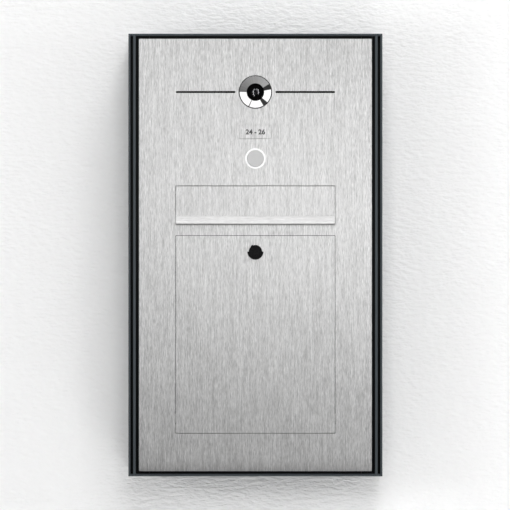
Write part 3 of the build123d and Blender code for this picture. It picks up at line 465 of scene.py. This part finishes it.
side_trim = -0.3 * mm
end_trim = -0.65 * mm
whole_sheet = 2.1 * mm
brushed_steel = brushed("steel_brushed_upright")
build(resized_rim(copied("front_plate"), {0: side_trim, 2: end_trim}, whole_sheet),
      "front_plate_skin", "housing", brushed_steel, ["front_plate"])


# Studs, spacers, nuts and hooks. Threaded studs are welded to the plate's back, and take the
# spacers and nuts that draw it to the ledges. Two folded hooks hang it on the top rail.

coat(zinc_plate, "plate_studs", "stud_nuts", "plate_spacers")
coat(plain_sheet, "plate_hooks")


# Letter flap. One folded sheet with a lip bent outward along its foot and an ear at each end,
# hung on a steel rod. Rubber bumpers stop it, and a sheet guide leads the letters inward.


def refined(node):
    """A CAD node's own shape as whole faces, ready for its edges to be rounded."""
    bm = copied(node)
    bmesh.ops.remove_doubles(bm, verts=bm.verts, dist=weld)
    bmesh.ops.dissolve_limit(bm, angle_limit=math.radians(0.5), verts=bm.verts, edges=bm.edges)
    return bm


def rounded(bm, edges, width, segments=3):
    """Round these edges over the width."""
    bmesh.ops.bevel(bm, geom=edges, offset=width, offset_type="OFFSET", segments=segments,
                    profile=0.5, affect="EDGES", clamp_overlap=True, material=-1)


gap_trim = 0.25 * mm
lip_height = 12.2 * mm
fold_radius = 1.6 * mm
foot_radius = 0.3 * mm
fold_height = flap_low.z + lip_height
flap_shape = resized_rim(refined("letter_flap"), {0: gap_trim})


def lengthwise(height, angle):
    """The flap's long edges within 1 mm of a height that bend by more than angle degrees."""
    return [edge for edge in flap_shape.edges
            if edge.calc_length() > 200 * mm and abs(edge.verts[0].co.z - height) < 1 * mm
            and edge.calc_face_angle(0) > math.radians(angle)]


rounded(flap_shape, lengthwise(fold_height, 5), fold_radius, 5)
rounded(flap_shape, lengthwise(flap_low.z, 30), foot_radius)
build(flap_shape, "letter_flap_folded", "flap",
      brushed("steel_brushed_flap", fold_height), ["letter_flap"], 6)


def ground_rod():
    """Ground stainless rod: rings left by the grinding run round it."""
    material, wire = start("ground_steel_rod")
    ring = wire.noise((0.35 * mm, 8 * mm, 8 * mm), detail=2)
    surface(wire, {
        "Base Color": wire.blend(ring, grey(0.48), grey(0.66)),
        "Metallic": 1.0,
        "Roughness": 0.22 + (ring - 0.5) * 0.3,
        "Normal": wire.bump(ring, 0.008 * mm),
    })
    return material


rod_steel = ground_rod()
coat(rod_steel, "flap_hinge_rod")
coat(plain_sheet, "flap_hinge_brackets", "flap_stops", "letter_guide")
coat(moulded_rubber, "flap_bumpers")


# Mail door. A folded sheet, brushed like the plate, that swings down on a rod along its foot
# between two plastic bushes. The folded frame behind it carries a rubber seal.

build(resized_rim(copied("door_panel"), {0: gap_trim, 2: gap_trim}),
      "door_panel_skin", "door", brushed_steel, ["door_panel"])
coat(rod_steel, "door_hinge_rod")
coat(plain_sheet, "door_hinge_brackets", "door_surround")
coat(moulded_rubber, "door_seal")


def moulded(name, low, high, gloss=0.5):
    """Moulded plastic with a fine spark-eroded grain."""
    material, wire = start(name)
    grain = wire.noise((0.45 * mm, 0.45 * mm, 0.45 * mm), detail=2, roughness=0.6)
    flow = wire.noise((22 * mm, 22 * mm, 22 * mm), detail=2)
    surface(wire, {
        "Base Color": wire.blend(flow * 0.7 + grain * 0.3, low, high),
        "Roughness": gloss + (grain - 0.5) * 0.2 + (flow - 0.5) * 0.15,
        "Normal": wire.bump(grain, 0.03 * mm),
    })
    return material


black_plastic = moulded("black_moulded_plastic", (0.010, 0.010, 0.011, 1), (0.024, 0.024, 0.025, 1))
coat(black_plastic, "door_hinge_bushes")


# Cam lock. A black cast barrel in the door's head, clamped from behind by a nut, turns a brass
# plug with a flat cam. A round cover on a rivet keeps dust out of the keyhole.


def black_casting():
    """Satin black plated casting: a smooth skin with slight ripples and worn, paler spots."""
    material, wire = start("black_plated_casting")
    ripple = wire.noise((2.2 * mm, 2.2 * mm, 2.2 * mm), detail=3)
    grain = wire.noise((0.2 * mm, 0.2 * mm, 0.2 * mm), detail=2)
    surface(wire, {
        "Base Color": wire.blend(ripple, (0.002, 0.002, 0.0022, 1), (0.007, 0.007, 0.0074, 1)),
        "Roughness": 0.30 + (ripple - 0.5) * 0.25 + (grain - 0.5) * 0.15,
        "Specular IOR Level": 0.07,
        "Normal": wire.bump(grain, 0.008 * mm, wire.bump(ripple, 0.03 * mm)),
    })
    return material


def brass():
    """Machined brass with faint tool marks, tarnished in patches."""
    material, wire = start("machined_brass")
    tool = wire.noise((0.3 * mm, 4 * mm, 4 * mm), detail=2)
    tarnish = wire.noise((2 * mm, 2 * mm, 2 * mm), detail=3)
    surface(wire, {
        "Base Color": wire.blend(tarnish, (0.42, 0.29, 0.12, 1), (0.72, 0.55, 0.27, 1)),
        "Metallic": 1.0,
        "Roughness": 0.28 + (tarnish - 0.5) * 0.35,
        "Normal": wire.bump(tool, 0.008 * mm),
    })
    return material


def turn(profile, middle, steps):
    """Spin (radius, depth) points round the front-to-back line through middle."""
    bm = bmesh.new()
    verts = [bm.verts.new((middle.x + radius, depth, middle.z)) for radius, depth in profile]
    pairs = list(zip(verts, verts[1:]))
    if profile[0][0] > 0:
        pairs.append((verts[-1], verts[0]))
    edges = [bm.edges.new(pair) for pair in pairs]
    bmesh.ops.spin(bm, geom=verts + edges, cent=(middle.x, 0, middle.z), axis=(0, 1, 0),
                   angle=math.tau, steps=steps, use_merge=True)
    bmesh.ops.remove_doubles(bm, verts=bm.verts, dist=0.002 * mm)
    bmesh.ops.recalc_face_normals(bm, faces=bm.faces)
    return bm


def soften(bm, width, segments=2, corner=30):
    """Round every edge that is sharper than corner degrees."""
    sharp = [edge for edge in bm.edges
             if edge.is_manifold and edge.calc_face_angle() > math.radians(corner)]
    rounded(bm, sharp, width, segments)
    return bm


def joined(*shapes):
    """Several shapes in one mesh."""
    whole = bmesh.new()
    for shape in shapes:
        mesh = bpy.data.meshes.new("shape")
        shape.to_mesh(mesh)
        shape.free()
        whole.from_mesh(mesh)
        bpy.data.meshes.remove(mesh)
    return whole


black_metal = black_casting()
coat(black_metal, "lock_barrel")
cover_low, cover_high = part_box("keyhole_cover")
cover_middle = (cover_low + cover_high) / 2
cover_radius = (cover_high.x - cover_low.x) / 2
nib_low, rivet_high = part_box("cover_rivet")
rivet_middle = (nib_low + rivet_high) / 2
cover_thickness = 1.1 * mm
cover_front = cover_high.y - cover_thickness
rim_width = 0.9 * mm
rim_flat = 0.675 * mm
dish = 0.22 * mm
nib_radius = 1.6 * mm
nib_reach = 0.8
pin_radius = 0.799 * mm
cover_disc = turn([
    (0, cover_front + dish),
    (cover_radius - rim_width, cover_front + dish),
    (cover_radius - rim_flat, cover_front),
    (cover_radius, cover_front),
    (cover_radius, cover_high.y),
    (0, cover_high.y),
], cover_middle, 96)
soften(cover_disc, 0.14 * mm, 3)
nib_middle = cover_middle - Vector((0, 0, rivet_middle.z - cover_middle.z)) * nib_reach


def button_head(middle, radius, base, top):
    """A domed head between two depths, on the same centre line as middle."""
    height = base - top
    return turn([
        (0, top),
        (radius * 0.45, top + height * 0.10),
        (radius * 0.78, top + height * 0.38),
        (radius * 0.96, top + height * 0.78),
        (radius, base),
        (0, base),
    ], middle, 32)


build(joined(cover_disc, button_head(nib_middle, nib_radius, cover_front + dish, cover_low.y)),
      "keyhole_cover_dished", "keyhole_cover", black_metal, ["keyhole_cover"])
rivet_lift = 0.05 * mm
rivet_head = button_head(rivet_middle, nib_radius, cover_front - rivet_lift, nib_low.y)
rivet_shank = turn([
    (0, cover_front),
    (pin_radius, cover_front),
    (pin_radius, rivet_high.y),
    (0, rivet_high.y),
], rivet_middle, 24)
build(joined(rivet_head, rivet_shank), "cover_rivet_domed", "door", black_metal,
      ["cover_rivet"])
coat(brass(), "lock_plug")
coat(zinc_plate, "lock_nut", "lock_cam", "cam_screw")


# Camera. A polished ring with a shallow funnel is screwed through the plate and held by a round
# nut. Inside it a black mount carries the lens, with the camera's board behind.


def chrome():
    """Polished chrome: nearly a mirror, with the faintest haze of wiping marks."""
    material, wire = start("polished_chrome")
    haze = wire.noise((9 * mm, 9 * mm, 9 * mm), detail=4, roughness=0.6)
    surface(wire, {
        "Base Color": wire.blend(haze, grey(0.76), grey(0.86)),
        "Metallic": 1.0,
        "Roughness": 0.035 + (haze - 0.5) * 0.05,
        "Normal": wire.bump(haze, 0.004 * mm),
    })
    return material


bezel_low, bezel_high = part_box("camera_bezel")
bezel_middle = (bezel_low + bezel_high) / 2
bezel_inset = 0.95 * mm
bezel_radius = (bezel_high.x - bezel_low.x) / 2 - bezel_inset
bezel_rim = 0.3 * mm
bezel_bore = 13.1 * mm
bezel_neck = 22.4 * mm
funnel_slope = math.tan(math.radians(18.9))
funnel_depth = (bezel_radius - bezel_rim - bezel_bore) * funnel_slope
ring_wall = 2.0 * mm
neck_inner = bezel_neck - ring_wall
bezel = turn([
    (bezel_radius, bezel_low.y),
    (bezel_radius - bezel_rim, bezel_low.y),
    (bezel_bore, bezel_low.y + funnel_depth),
    (bezel_bore, bezel_high.y),
    (bezel_bore + ring_wall, bezel_high.y),
    (bezel_bore + ring_wall, bezel_low.y + funnel_depth + ring_wall),
    (neck_inner, bezel_low.y + (bezel_radius - bezel_rim - neck_inner) * funnel_slope + ring_wall),
    (neck_inner, bezel_high.y),
    (bezel_neck, bezel_high.y),
    (bezel_neck, plate_low.y),
    (bezel_radius, plate_low.y),
], bezel_middle, 192)
chrome_ring = build(soften(bezel, 0.12 * mm, 3), "camera_ring", "housing",
                    chrome(), ["camera_bezel"], 12)
coat(zinc_plate, "camera_nut")

# A thin black rubber gasket under the ring's edge, which also stands in for the dark shadow line
# round the ring.
gasket_height = 0.8 * mm
gasket_inner = bezel_radius - 0.1 * mm
gasket_outer = bezel_radius + 1.15 * mm
gasket_and_shadow_line = turn([
    (gasket_inner, plate_low.y),
    (gasket_inner, plate_low.y - gasket_height),
    (gasket_outer, plate_low.y - gasket_height),
    (gasket_outer, plate_low.y),
], bezel_middle, 128)
build(soften(gasket_and_shadow_line, 0.2 * mm), "camera_ring_gasket_shadow_line", "housing", moulded_rubber)


def matt_black():
    """Light-trapping black plastic inside the ring."""
    material, wire = start("matt_black_baffle")
    grain = wire.noise((0.3 * mm, 0.3 * mm, 0.3 * mm), detail=2)
    surface(wire, {
        "Base Color": wire.blend(grain, (0.0006, 0.0006, 0.0007, 1), (0.002, 0.002, 0.0021, 1)),
        "Roughness": 0.7 + (grain - 0.5) * 0.2,
        "Specular IOR Level": 0.02,
        "Normal": wire.bump(grain, 0.02 * mm),
    })
    return material


def lens_glass():
    """Coated optical glass, smoked so that little of what lies behind it shows."""
    material, wire = start("coated_lens_glass")
    film = wire.noise((5 * mm, 5 * mm, 5 * mm), detail=1)
    surface(wire, {
        "Base Color": wire.blend(film, (0.080, 0.078, 0.100, 1), (0.078, 0.092, 0.088, 1)),
        "Roughness": 0.015 + film * 0.01,
        "Transmission Weight": 1.0,
        "IOR": 1.62,
        "Specular Tint": (0.96, 0.95, 1.0, 1),
    })
    return material


def deep_element():
    """The dark inner element, with the blue and violet sheen of its coating."""
    material, wire = start("inner_lens_element")
    film = wire.noise((1.4 * mm, 1.4 * mm, 1.4 * mm), detail=1)
    surface(wire, {
        "Base Color": wire.blend(film, (0.003, 0.002, 0.008, 1), (0.010, 0.004, 0.016, 1)),
        "Roughness": 0.08 + film * 0.06,
        "Specular IOR Level": 0.3,
    })
    return material


baffle_black = matt_black()
shroud_low, shroud_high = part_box("camera_shroud")
lens_low, lens_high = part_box("camera_lens")
shroud_radius = (shroud_high.x - shroud_low.x) / 2
shroud_rim = 0.4 * mm
tube_radius = 9.0 * mm
lens_radius = (lens_high.x - lens_low.x) / 2
lens_seat = lens_radius + 0.02 * mm
dome_height = 2.0 * mm
lens_base = lens_low.y + dome_height
shroud_back = bezel_high.y - 0.4 * mm
baffles = 5
last_ledge = 1.6 * mm
baffle_run = (shroud_radius - shroud_rim - lens_radius - last_ledge) / baffles
baffle_fall = (lens_base - shroud_low.y) / baffles
shroud_profile = [(shroud_radius, shroud_low.y), (shroud_radius - shroud_rim, shroud_low.y)]
for step in range(baffles):
    inward = shroud_radius - shroud_rim - baffle_run * step
    depth = shroud_low.y + baffle_fall * (step + 1)
    shroud_profile += [(inward - baffle_run * 0.25, depth), (inward - baffle_run, depth)]
shroud_profile += [
    (lens_seat, lens_base),
    (lens_seat, shroud_high.y),
    (tube_radius, shroud_high.y),
    (tube_radius, shroud_back),
    (shroud_radius, shroud_back),
]
build(turn(shroud_profile, bezel_middle, 96), "camera_shroud_stepped", "housing",
      baffle_black, ["camera_shroud"])

dome_steps = 10
dome_radius = (lens_radius ** 2 + dome_height ** 2) / (2 * dome_height)
dome_turn = math.asin(lens_radius / dome_radius)
glass_profile = []
for step in range(dome_steps + 1):
    angle = dome_turn * step / dome_steps
    sag = dome_radius * (1 - math.cos(angle))
    glass_profile.append((dome_radius * math.sin(angle), lens_low.y + sag))
glass_back = lens_base + 0.8 * mm
glass_profile += [(lens_radius, glass_back), (0, glass_back)]
front_glass = build(turn(glass_profile, bezel_middle, 96), "camera_front_glass", "housing",
                    lens_glass(), ["camera_lens"], 50)

core_front = glass_back + 0.2 * mm
first_step = core_front + 0.7 * mm
second_step = core_front + 1.4 * mm
iris_floor = core_front + 2.6 * mm
iris_radius = 2.4 * mm
lens_core = turn([
    (lens_radius, core_front),
    (4.6 * mm, core_front),
    (4.3 * mm, first_step),
    (3.5 * mm, first_step),
    (3.2 * mm, second_step),
    (iris_radius, second_step),
    (iris_radius, iris_floor),
    (0, iris_floor),
    (0, lens_high.y),
    (lens_radius, lens_high.y),
], bezel_middle, 72)
build(lens_core, "camera_lens_core", "housing", baffle_black)
element_radius = iris_radius * 0.98
inner_element = turn([
    (0, core_front + 1.5 * mm),
    (iris_radius * 0.5, core_front + 1.62 * mm),
    (element_radius, core_front + 2.0 * mm),
    (element_radius, iris_floor),
    (0, iris_floor),
], bezel_middle, 48)
build(inner_element, "camera_inner_element", "housing", deep_element(), (), 50)


def circuit():
    """A circuit board: green mask over copper tracks, with pale pads."""
    material, wire = start("green_circuit_board")
    upright = wire.node("VectorRotate", {"rotation_type": "X_AXIS"},
                        {"Vector": wire.point(), "Angle": math.pi / 2})
    track = wire.node("TexBrick", {"offset": 0.5, "squash": 1.0}, {
        "Vector": upright, "Scale": 1.0,
        "Mortar Size": 0.25 * mm, "Brick Width": 6.5 * mm, "Row Height": 1.6 * mm,
    }, output="Fac")
    pad_cells = wire.cells((2.6 * mm, 2.6 * mm, 2.6 * mm))
    dot = wire.node("TexVoronoi", {"feature": "F1"}, {"Vector": pad_cells, "Scale": 1.0}) < 0.2
    mask = wire.blend(track, (0.012, 0.105, 0.045, 1), (0.030, 0.190, 0.085, 1))
    surface(wire, {
        "Base Color": wire.blend(dot, mask, (0.62, 0.60, 0.55, 1)),
        "Metallic": dot * 0.9,
        "Roughness": 0.34 - dot * 0.08,
        "Normal": wire.bump(track, 0.04 * mm),
    })
    return material


board_green = circuit()
coat(board_green, "camera_board")


# Speaking slots. Black acoustic mesh lies behind the two slots. Behind the left one is a small
# loudspeaker, and behind the right one a microphone in a rubber boot.


def acoustic_mesh():
    """Woven black mesh: threads crossing every 0.6 mm."""
    material, wire = start("woven_black_mesh")
    pitch = math.tau / (0.6 * mm)
    across = wire.node("Math", {"operation": "SINE"}, {0: wire.axis("X") * pitch})
    along = wire.node("Math", {"operation": "SINE"}, {0: wire.axis("Z") * pitch})
    thread = (across * along) * 0.5 + 0.5
    surface(wire, {
        "Base Color": wire.blend(thread, (0.0008, 0.0008, 0.0008, 1), (0.004, 0.004, 0.004, 1)),
        "Roughness": 0.85 - thread * 0.15,
        "Specular IOR Level": 0.05,
        "Normal": wire.bump(thread, 0.08 * mm),
    })
    return material


def pressed_paper():
    """Dark pressed paper with matted fibres."""
    material, wire = start("pressed_paper")
    fibre = wire.noise((0.5 * mm, 0.5 * mm, 0.5 * mm), detail=4, roughness=0.7)
    surface(wire, {
        "Base Color": wire.blend(fibre, (0.020, 0.020, 0.020, 1), (0.075, 0.073, 0.070, 1)),
        "Roughness": 0.85 + (fibre - 0.5) * 0.2,
        "Normal": wire.bump(fibre, 0.08 * mm),
    })
    return material


def pressed_steel():
    """Grey pressed steel, dull and slightly grained."""
    material, wire = start("grey_pressed_steel")
    grain = wire.noise((0.8 * mm, 0.8 * mm, 0.8 * mm), detail=3)
    surface(wire, {
        "Base Color": wire.blend(grain, grey(0.15), grey(0.26)),
        "Metallic": 0.85,
        "Roughness": 0.42 + (grain - 0.5) * 0.2,
        "Normal": wire.bump(grain, 0.02 * mm),
    })
    return material


speaker_steel = pressed_steel()
coat(acoustic_mesh(), "slot_meshes")
coat(speaker_steel, "loudspeaker_basket", "microphone")
coat(pressed_paper(), "loudspeaker_cone")
coat(moulded_rubber, "microphone_boot")


# Intercom tray. A black moulded tray screwed to the plate's studs holds the loudspeaker, the
# microphone and the main board. The house wires end in a green terminal block on its back.

coat(black_plastic, "intercom_housing")
coat(board_green, "main_board")
coat(zinc_plate, "board_screws")
coat(moulded("green_terminal_plastic", (0.035, 0.22, 0.085, 1), (0.065, 0.34, 0.135, 1), 0.42),
     "terminal_block")


# Name plate. A small plate of the same brushed steel lies flush in its window, backed by a
# folded holder, and carries the house number in dark engraved figures.

coat(plain_sheet, "name_plate_holder")
build(soften(refined("name_plate"), 0.3 * mm), "name_plate_softened", "housing",
      brushed_steel, ["name_plate"], 6)


def engraving_paint():
    """Dark grey paint, slightly worn."""
    material, wire = start("grey_engraving_paint")
    wear = wire.noise((0.5 * mm, 0.5 * mm, 0.5 * mm), detail=3)
    surface(wire, {
        "Base Color": wire.blend(wear, grey(0.012), grey(0.035)),
        "Roughness": 0.6 + (wear - 0.5) * 0.2,
        "Normal": wire.bump(wear, 0.02 * mm),
    })
    return material


def figures(name, words, height, middle, raised, material):
    """Flat figures made a mesh, then stood up on the front round middle."""
    figure_part = 0.69
    stroke_gain = 0.045
    curve = bpy.data.curves.new(name, "FONT")
    curve.body = words
    curve.size = height / figure_part
    curve.align_x = "CENTER"
    curve.extrude = raised / 2
    curve.offset = height * stroke_gain
    curve.resolution_u = 4
    writing = bpy.data.objects.new(name + "_text", curve)
    bpy.context.scene.collection.objects.link(writing)
    bpy.context.view_layer.update()
    evaluated = writing.evaluated_get(bpy.context.evaluated_depsgraph_get())
    mesh = bpy.data.meshes.new_from_object(evaluated)
    bpy.data.objects.remove(writing)
    bm = bmesh.new()
    bm.from_mesh(mesh)
    bpy.data.meshes.remove(mesh)
    bmesh.ops.remove_doubles(bm, verts=bm.verts, dist=weld)
    foot = Matrix.Translation((middle.x, middle.y, middle.z - height / 2))
    stand = foot @ Matrix.Rotation(math.radians(90), 4, "X")
    bmesh.ops.transform(bm, matrix=stand, verts=bm.verts)
    return build(bm, name, "housing", material)


name_low, name_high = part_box("name_plate")
name_middle = (name_low + name_high) / 2
name_front = Vector((name_middle.x, name_low.y, name_middle.z))
figure_height = 7.0 * mm
figure_relief = 0.08 * mm
figures("house_number", "24 - 26", figure_height, name_front, figure_relief, engraving_paint())


# Bell button. A satin aluminium cap moves in a light-spreading ring. Behind them a black cup
# holds the spring, a board with eight lights, and the switch that the cap's stem presses.


def satin_aluminium():
    """Anodised aluminium with a fine, even, matt skin."""
    material, wire = start("satin_anodised_aluminium")
    grain = wire.noise((0.3 * mm, 0.3 * mm, 0.3 * mm), detail=2)
    cloud = wire.noise((7 * mm, 7 * mm, 7 * mm), detail=2)
    surface(wire, {
        "Base Color": wire.blend(cloud * 0.5 + grain * 0.5, grey(0.53), grey(0.61)),
        "Metallic": 1.0,
        "Roughness": 0.5 + (grain - 0.5) * 0.15,
        "Normal": wire.bump(grain, 0.006 * mm),
    })
    return material


def lit_diffuser():
    """Milky acrylic lit from behind, a little brighter in soft patches."""
    material, wire = start("lit_white_acrylic")
    glow = wire.noise((6 * mm, 6 * mm, 6 * mm), detail=2)
    surface(wire, {
        "Base Color": wire.blend(glow, grey(0.82), grey(0.92)),
        "Roughness": 0.28 + (glow - 0.5) * 0.1,
        "Emission Color": wire.blend(glow, (0.94, 0.96, 1.0, 1), (1, 1, 1, 1)),
        "Emission Strength": 0.12,
    })
    return material


ring_low, ring_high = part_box("bell_light_ring")
cap_low, cap_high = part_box("bell_cap")
bell_middle = (ring_low + ring_high) / 2
ring_outer = 15.3 * mm
ring_inner = 12.7 * mm
ring_flange = (ring_high.x - ring_low.x) / 2
light_ring = turn([
    (ring_inner, ring_low.y),
    (ring_outer, ring_low.y),
    (ring_outer, plate_high.y),
    (ring_flange, plate_high.y),
    (ring_flange, ring_high.y),
    (ring_inner, ring_high.y),
], bell_middle, 128)
build(soften(light_ring, 0.2 * mm, 3), "bell_light_ring_rounded", "housing",
      lit_diffuser(), ["bell_light_ring"])

cap_radius = 12.45 * mm
cap_wall = 1.6 * mm
cap_dish = 0.3 * mm
cap_flange = (cap_high.x - cap_low.x) / 2
cap_seat = ring_high.y + 0.3 * mm
cap_inner = cap_radius - cap_wall
plunger_radius = 2.2 * mm
cap = turn([
    (0, cap_low.y + cap_dish),
    (cap_radius * 0.35, cap_low.y + cap_dish * 0.88),
    (cap_radius * 0.65, cap_low.y + cap_dish * 0.55),
    (cap_radius * 0.9, cap_low.y),
    (cap_radius, cap_low.y),
    (cap_radius, cap_seat),
    (cap_flange, cap_seat),
    (cap_flange, cap_seat + cap_wall),
    (cap_inner, cap_seat + cap_wall),
    (cap_inner, cap_low.y + cap_wall),
    (plunger_radius, cap_low.y + cap_wall),
    (plunger_radius, cap_high.y),
    (0, cap_high.y),
], bell_middle, 128)
build(soften(cap, 0.35 * mm, 3), "bell_cap_dished", "bell_button",
      satin_aluminium(), ["bell_cap"])
coat(black_plastic, "bell_housing", "bell_switch")
coat(board_green, "bell_board")

spring = build(refined("bell_spring"), "bell_spring_coil", None, zinc_plate,
               ["bell_spring"], 60)
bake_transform(spring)


# The place it hangs. A plain pale plaster wall behind it and a pale floor below, soft studio
# lights in front and above, and a camera straight in front of it.


def plaster(name, level, relief):
    """Pale plaster, seen from its front only: from behind it lets the view through."""
    material, wire = start(name)
    rough = wire.noise((13 * mm, 6 * mm, 5.5 * mm), detail=4, roughness=0.55)
    wave = wire.noise((240 * mm, 240 * mm, 240 * mm), detail=2)
    shader = wire.node("BsdfPrincipled", sockets={
        "Base Color": wire.blend(wave * 0.7 + rough * 0.3, grey(level * 0.98), grey(level * 1.02)),
        "Roughness": 0.9,
        "Specular IOR Level": 0.1,
        "Normal": wire.bump(rough, relief),
    })
    through = wire.node("BsdfTransparent")
    behind = wire.node("NewGeometry", output="Backfacing")
    mixed = wire.node("MixShader", sockets={0: behind, 1: shader, 2: through})
    wire.node("OutputMaterial", sockets={"Surface": mixed})
    return material


def backdrop(name, half, matrix, material, glossy=True):
    """A square sheet of the surroundings, which is no part of the object."""
    bm = bmesh.new()
    bmesh.ops.create_grid(bm, x_segments=1, y_segments=1, size=half, matrix=matrix)
    mesh = bpy.data.meshes.new(name)
    bm.to_mesh(mesh)
    bm.free()
    mesh.materials.append(material)
    sheet = bpy.data.objects.new(name, mesh)
    bpy.context.scene.collection.objects.link(sheet)
    sheet.visible_shadow = False
    sheet.visible_glossy = glossy
    return sheet


def flag(name, half, matrix):
    """A black card below the front that only mirror-like skins see."""
    material, wire = start(name)
    card = wire.node("BsdfDiffuse", sockets={"Color": grey(0.0)})
    clear = wire.node("BsdfTransparent")
    shadow = wire.node("LightPath", output="Is Shadow Ray")
    mixed = wire.node("MixShader", sockets={0: shadow, 1: card, 2: clear})
    wire.node("OutputMaterial", sockets={"Surface": mixed})
    sheet = backdrop(name, half, matrix, material)
    sheet.visible_camera = False
    sheet.visible_diffuse = False


card_half = 0.35
card_start = -0.13
wall_gap = 0.6 * mm
floor_height = -1.35
flag("black_card", card_half, Matrix.Translation((0, card_start - card_half, -0.40)))
upright = Matrix.Rotation(math.radians(90), 4, "X")
backdrop("wall", 3.0, Matrix.Translation((0, wall_gap, 0)) @ upright,
         plaster("wall_plaster", 0.87, 2.7 * mm))
backdrop("floor", 6.0, Matrix.Translation((0, 0, floor_height)),
         plaster("floor_screed", 0.80, 0.1 * mm), glossy=False)


def softbox(name, place, aim, size, power, matt=True, glossy=True, roll=0, pieces=(),
            link="EXCLUDE"):
    """A rectangular light facing aim. Matt skins, glossy skins or named pieces may miss it."""
    light = bpy.data.lights.new(name, "AREA")
    light.shape = "RECTANGLE"
    light.size, light.size_y = size
    light.energy = power
    holder = bpy.data.objects.new(name, light)
    facing = (Vector(aim) - Vector(place)).to_track_quat("-Z", "Y").to_matrix().to_4x4()
    rolled = Matrix.Rotation(math.radians(roll), 4, "Z")
    holder.matrix_world = Matrix.Translation(place) @ facing @ rolled
    holder.visible_camera = False
    holder.visible_diffuse = matt
    holder.visible_glossy = glossy
    if pieces:
        lit = bpy.data.collections.new(name + "_receivers")
        for piece in pieces:
            lit.objects.link(piece)
        for member in lit.collection_objects:
            member.light_linking.link_state = link
        holder.light_linking.receiver_collection = lit
    bpy.context.scene.collection.objects.link(holder)


for name, place, aim, size, power in (
        ("overhead", (0.30, -1.30, 2.00), (0, -0.05, 0), (1.0, 0.6), 26.1),
        ("beside_camera", (0.10, -2.60, 0.75), (0, -0.1, 0.15), (0.9, 0.9), 14.0),
        ("left_side", (-1.73, -1.45, 0.00), (0, -0.1, 0), (0.5, 0.5), 11.8),
        ("right_side", (1.50, -0.80, 0.20), (0, -0.05, 0), (0.8, 0.8), 5.9),
        ("from_below", (0.50, -0.66, -1.20), (0, -0.1, 0), (0.5, 0.5), 3.1)):
    softbox(name, place, aim, size, power, glossy=False)
for name, place, aim, size, power in (
        ("sheen_over", (0.10, -0.80, 1.30), (0, -0.1, 0.1), (1.8, 0.9), 15.5),
        ("sheen_left", (-0.50, -2.40, 0.30), (0, -0.1, 0.15), (0.6, 0.9), 4.2),
        ("sheen_right", (0.70, -2.40, 0.00), (0, -0.1, 0.15), (0.6, 0.9), 5.2),
        ("sheen_middle", (0.10, -0.90, 0.10), (0, -0.1, 0.05), (0.5, 0.3), 0.385),
        ("sheen_floor", (0, -2.65, -1.30), (0, -2.65, 0), (7.0, 3.5), 35),
        ("sheen_far_left", (-2.2, -1.7, 0.1), (0, -0.1, 0.1), (1.6, 2.0), 4.5),
        ("sheen_far_right", (2.2, -1.7, 0.1), (0, -0.1, 0.1), (1.6, 2.0), 4.5)):
    softbox(name, place, aim, size, power, matt=False, pieces=(chrome_ring, front_glass))

lens_light_reach = 0.72
for number, (out_x, out_z, roll, power) in enumerate((
        (-0.30, 0.00, 0, 2.2), (-0.22, 0.36, -31, 1.3), (-0.21, -0.36, 31, 2.6),
        (0.44, -0.05, 5, 2.2), (0.35, 0.34, 32, 2.2))):
    forward = math.sqrt(1 - out_x ** 2 - out_z ** 2)
    mirrored = Vector((out_x, -forward, out_z)) * 2 * forward + Vector((0, 1, 0))
    softbox("lens_light_%d" % number, bezel_middle + mirrored * lens_light_reach, bezel_middle,
            (0.22, 0.52), power, roll=roll, pieces=(front_glass,), link="INCLUDE")
softbox("rear_fill", (0.6, 2.4, 1.9), (0, 0.3, -0.5), (2.4, 1.6), 110)

world = bpy.data.worlds.new("studio")
world.use_nodes = True
world.node_tree.nodes.clear()
sky = Wire(world.node_tree)
look = sky.node("TexCoord", output="Generated")
across, depth, up = (sky.node("SeparateXYZ", sockets={0: look}, output=i) for i in range(3))
ahead = 0 - depth
round_view = sky.node("Math", {"operation": "ARCTAN2"}, {0: up, 1: across}) * (1 / math.tau)
round_view = sky.node("Math", {"operation": "FRACT"}, {0: round_view + 1})


def stops(*spans):
    """Hard-edged bands: (from degrees, to degrees, level at the start, level at the end)."""
    made = []
    for first, last, start_level, end_level in spans:
        made += [(first / 360 + 0.001, grey(start_level)), (last / 360 - 0.001, grey(end_level))]
    return made


white = 1.35
cards = sky.node("ValToRGB", {"stops": stops(
    (0, 5, 0.19, 0.19), (6, 65, white, white), (66, 69, 0.12, 0.12), (70, 117, white, white),
    (118, 135, 0.05, 0.05), (136, 183, white, white), (184, 205, 0.04, 0.04),
    (206, 290, 0.46, 0.34), (290, 359, 0.34, 0.19))}, {0: round_view})
clutter = sky.node("TexNoise", {"noise_dimensions": "1D"},
                   {"W": round_view, "Scale": 55.0, "Detail": 3.0})
cards = sky.blend((clutter - 0.4) * 1.2, cards, cards * 1.35)
cards_outer = 0.72
cards_inner = 0.85
zone = (ahead > cards_outer) * (ahead < cards_inner)
studio = sky.blend(zone, grey(0.12), cards)
seen = sky.node("LightPath", output="Is Camera Ray")
shade = sky.blend(seen, studio, grey(0.90))
glow = sky.node("Background", sockets={"Color": shade, "Strength": 1.0})
sky.node("OutputWorld", sockets={"Surface": glow})
bpy.context.scene.world = world
bpy.context.scene.view_settings.view_transform = "Standard"

field = 0.765
lens_length = 200.0
sensor = 36.0
off_centre = -0.6 * mm
camera = bpy.data.cameras.new("front_view")
camera.lens = lens_length
camera.sensor_width = sensor
viewer = bpy.data.objects.new("front_view", camera)
viewer.location = (off_centre, plate_low.y - field * lens_length / sensor, 0)
viewer.rotation_euler = (math.radians(90), 0, 0)
bpy.context.scene.collection.objects.link(viewer)
bpy.context.scene.camera = viewer
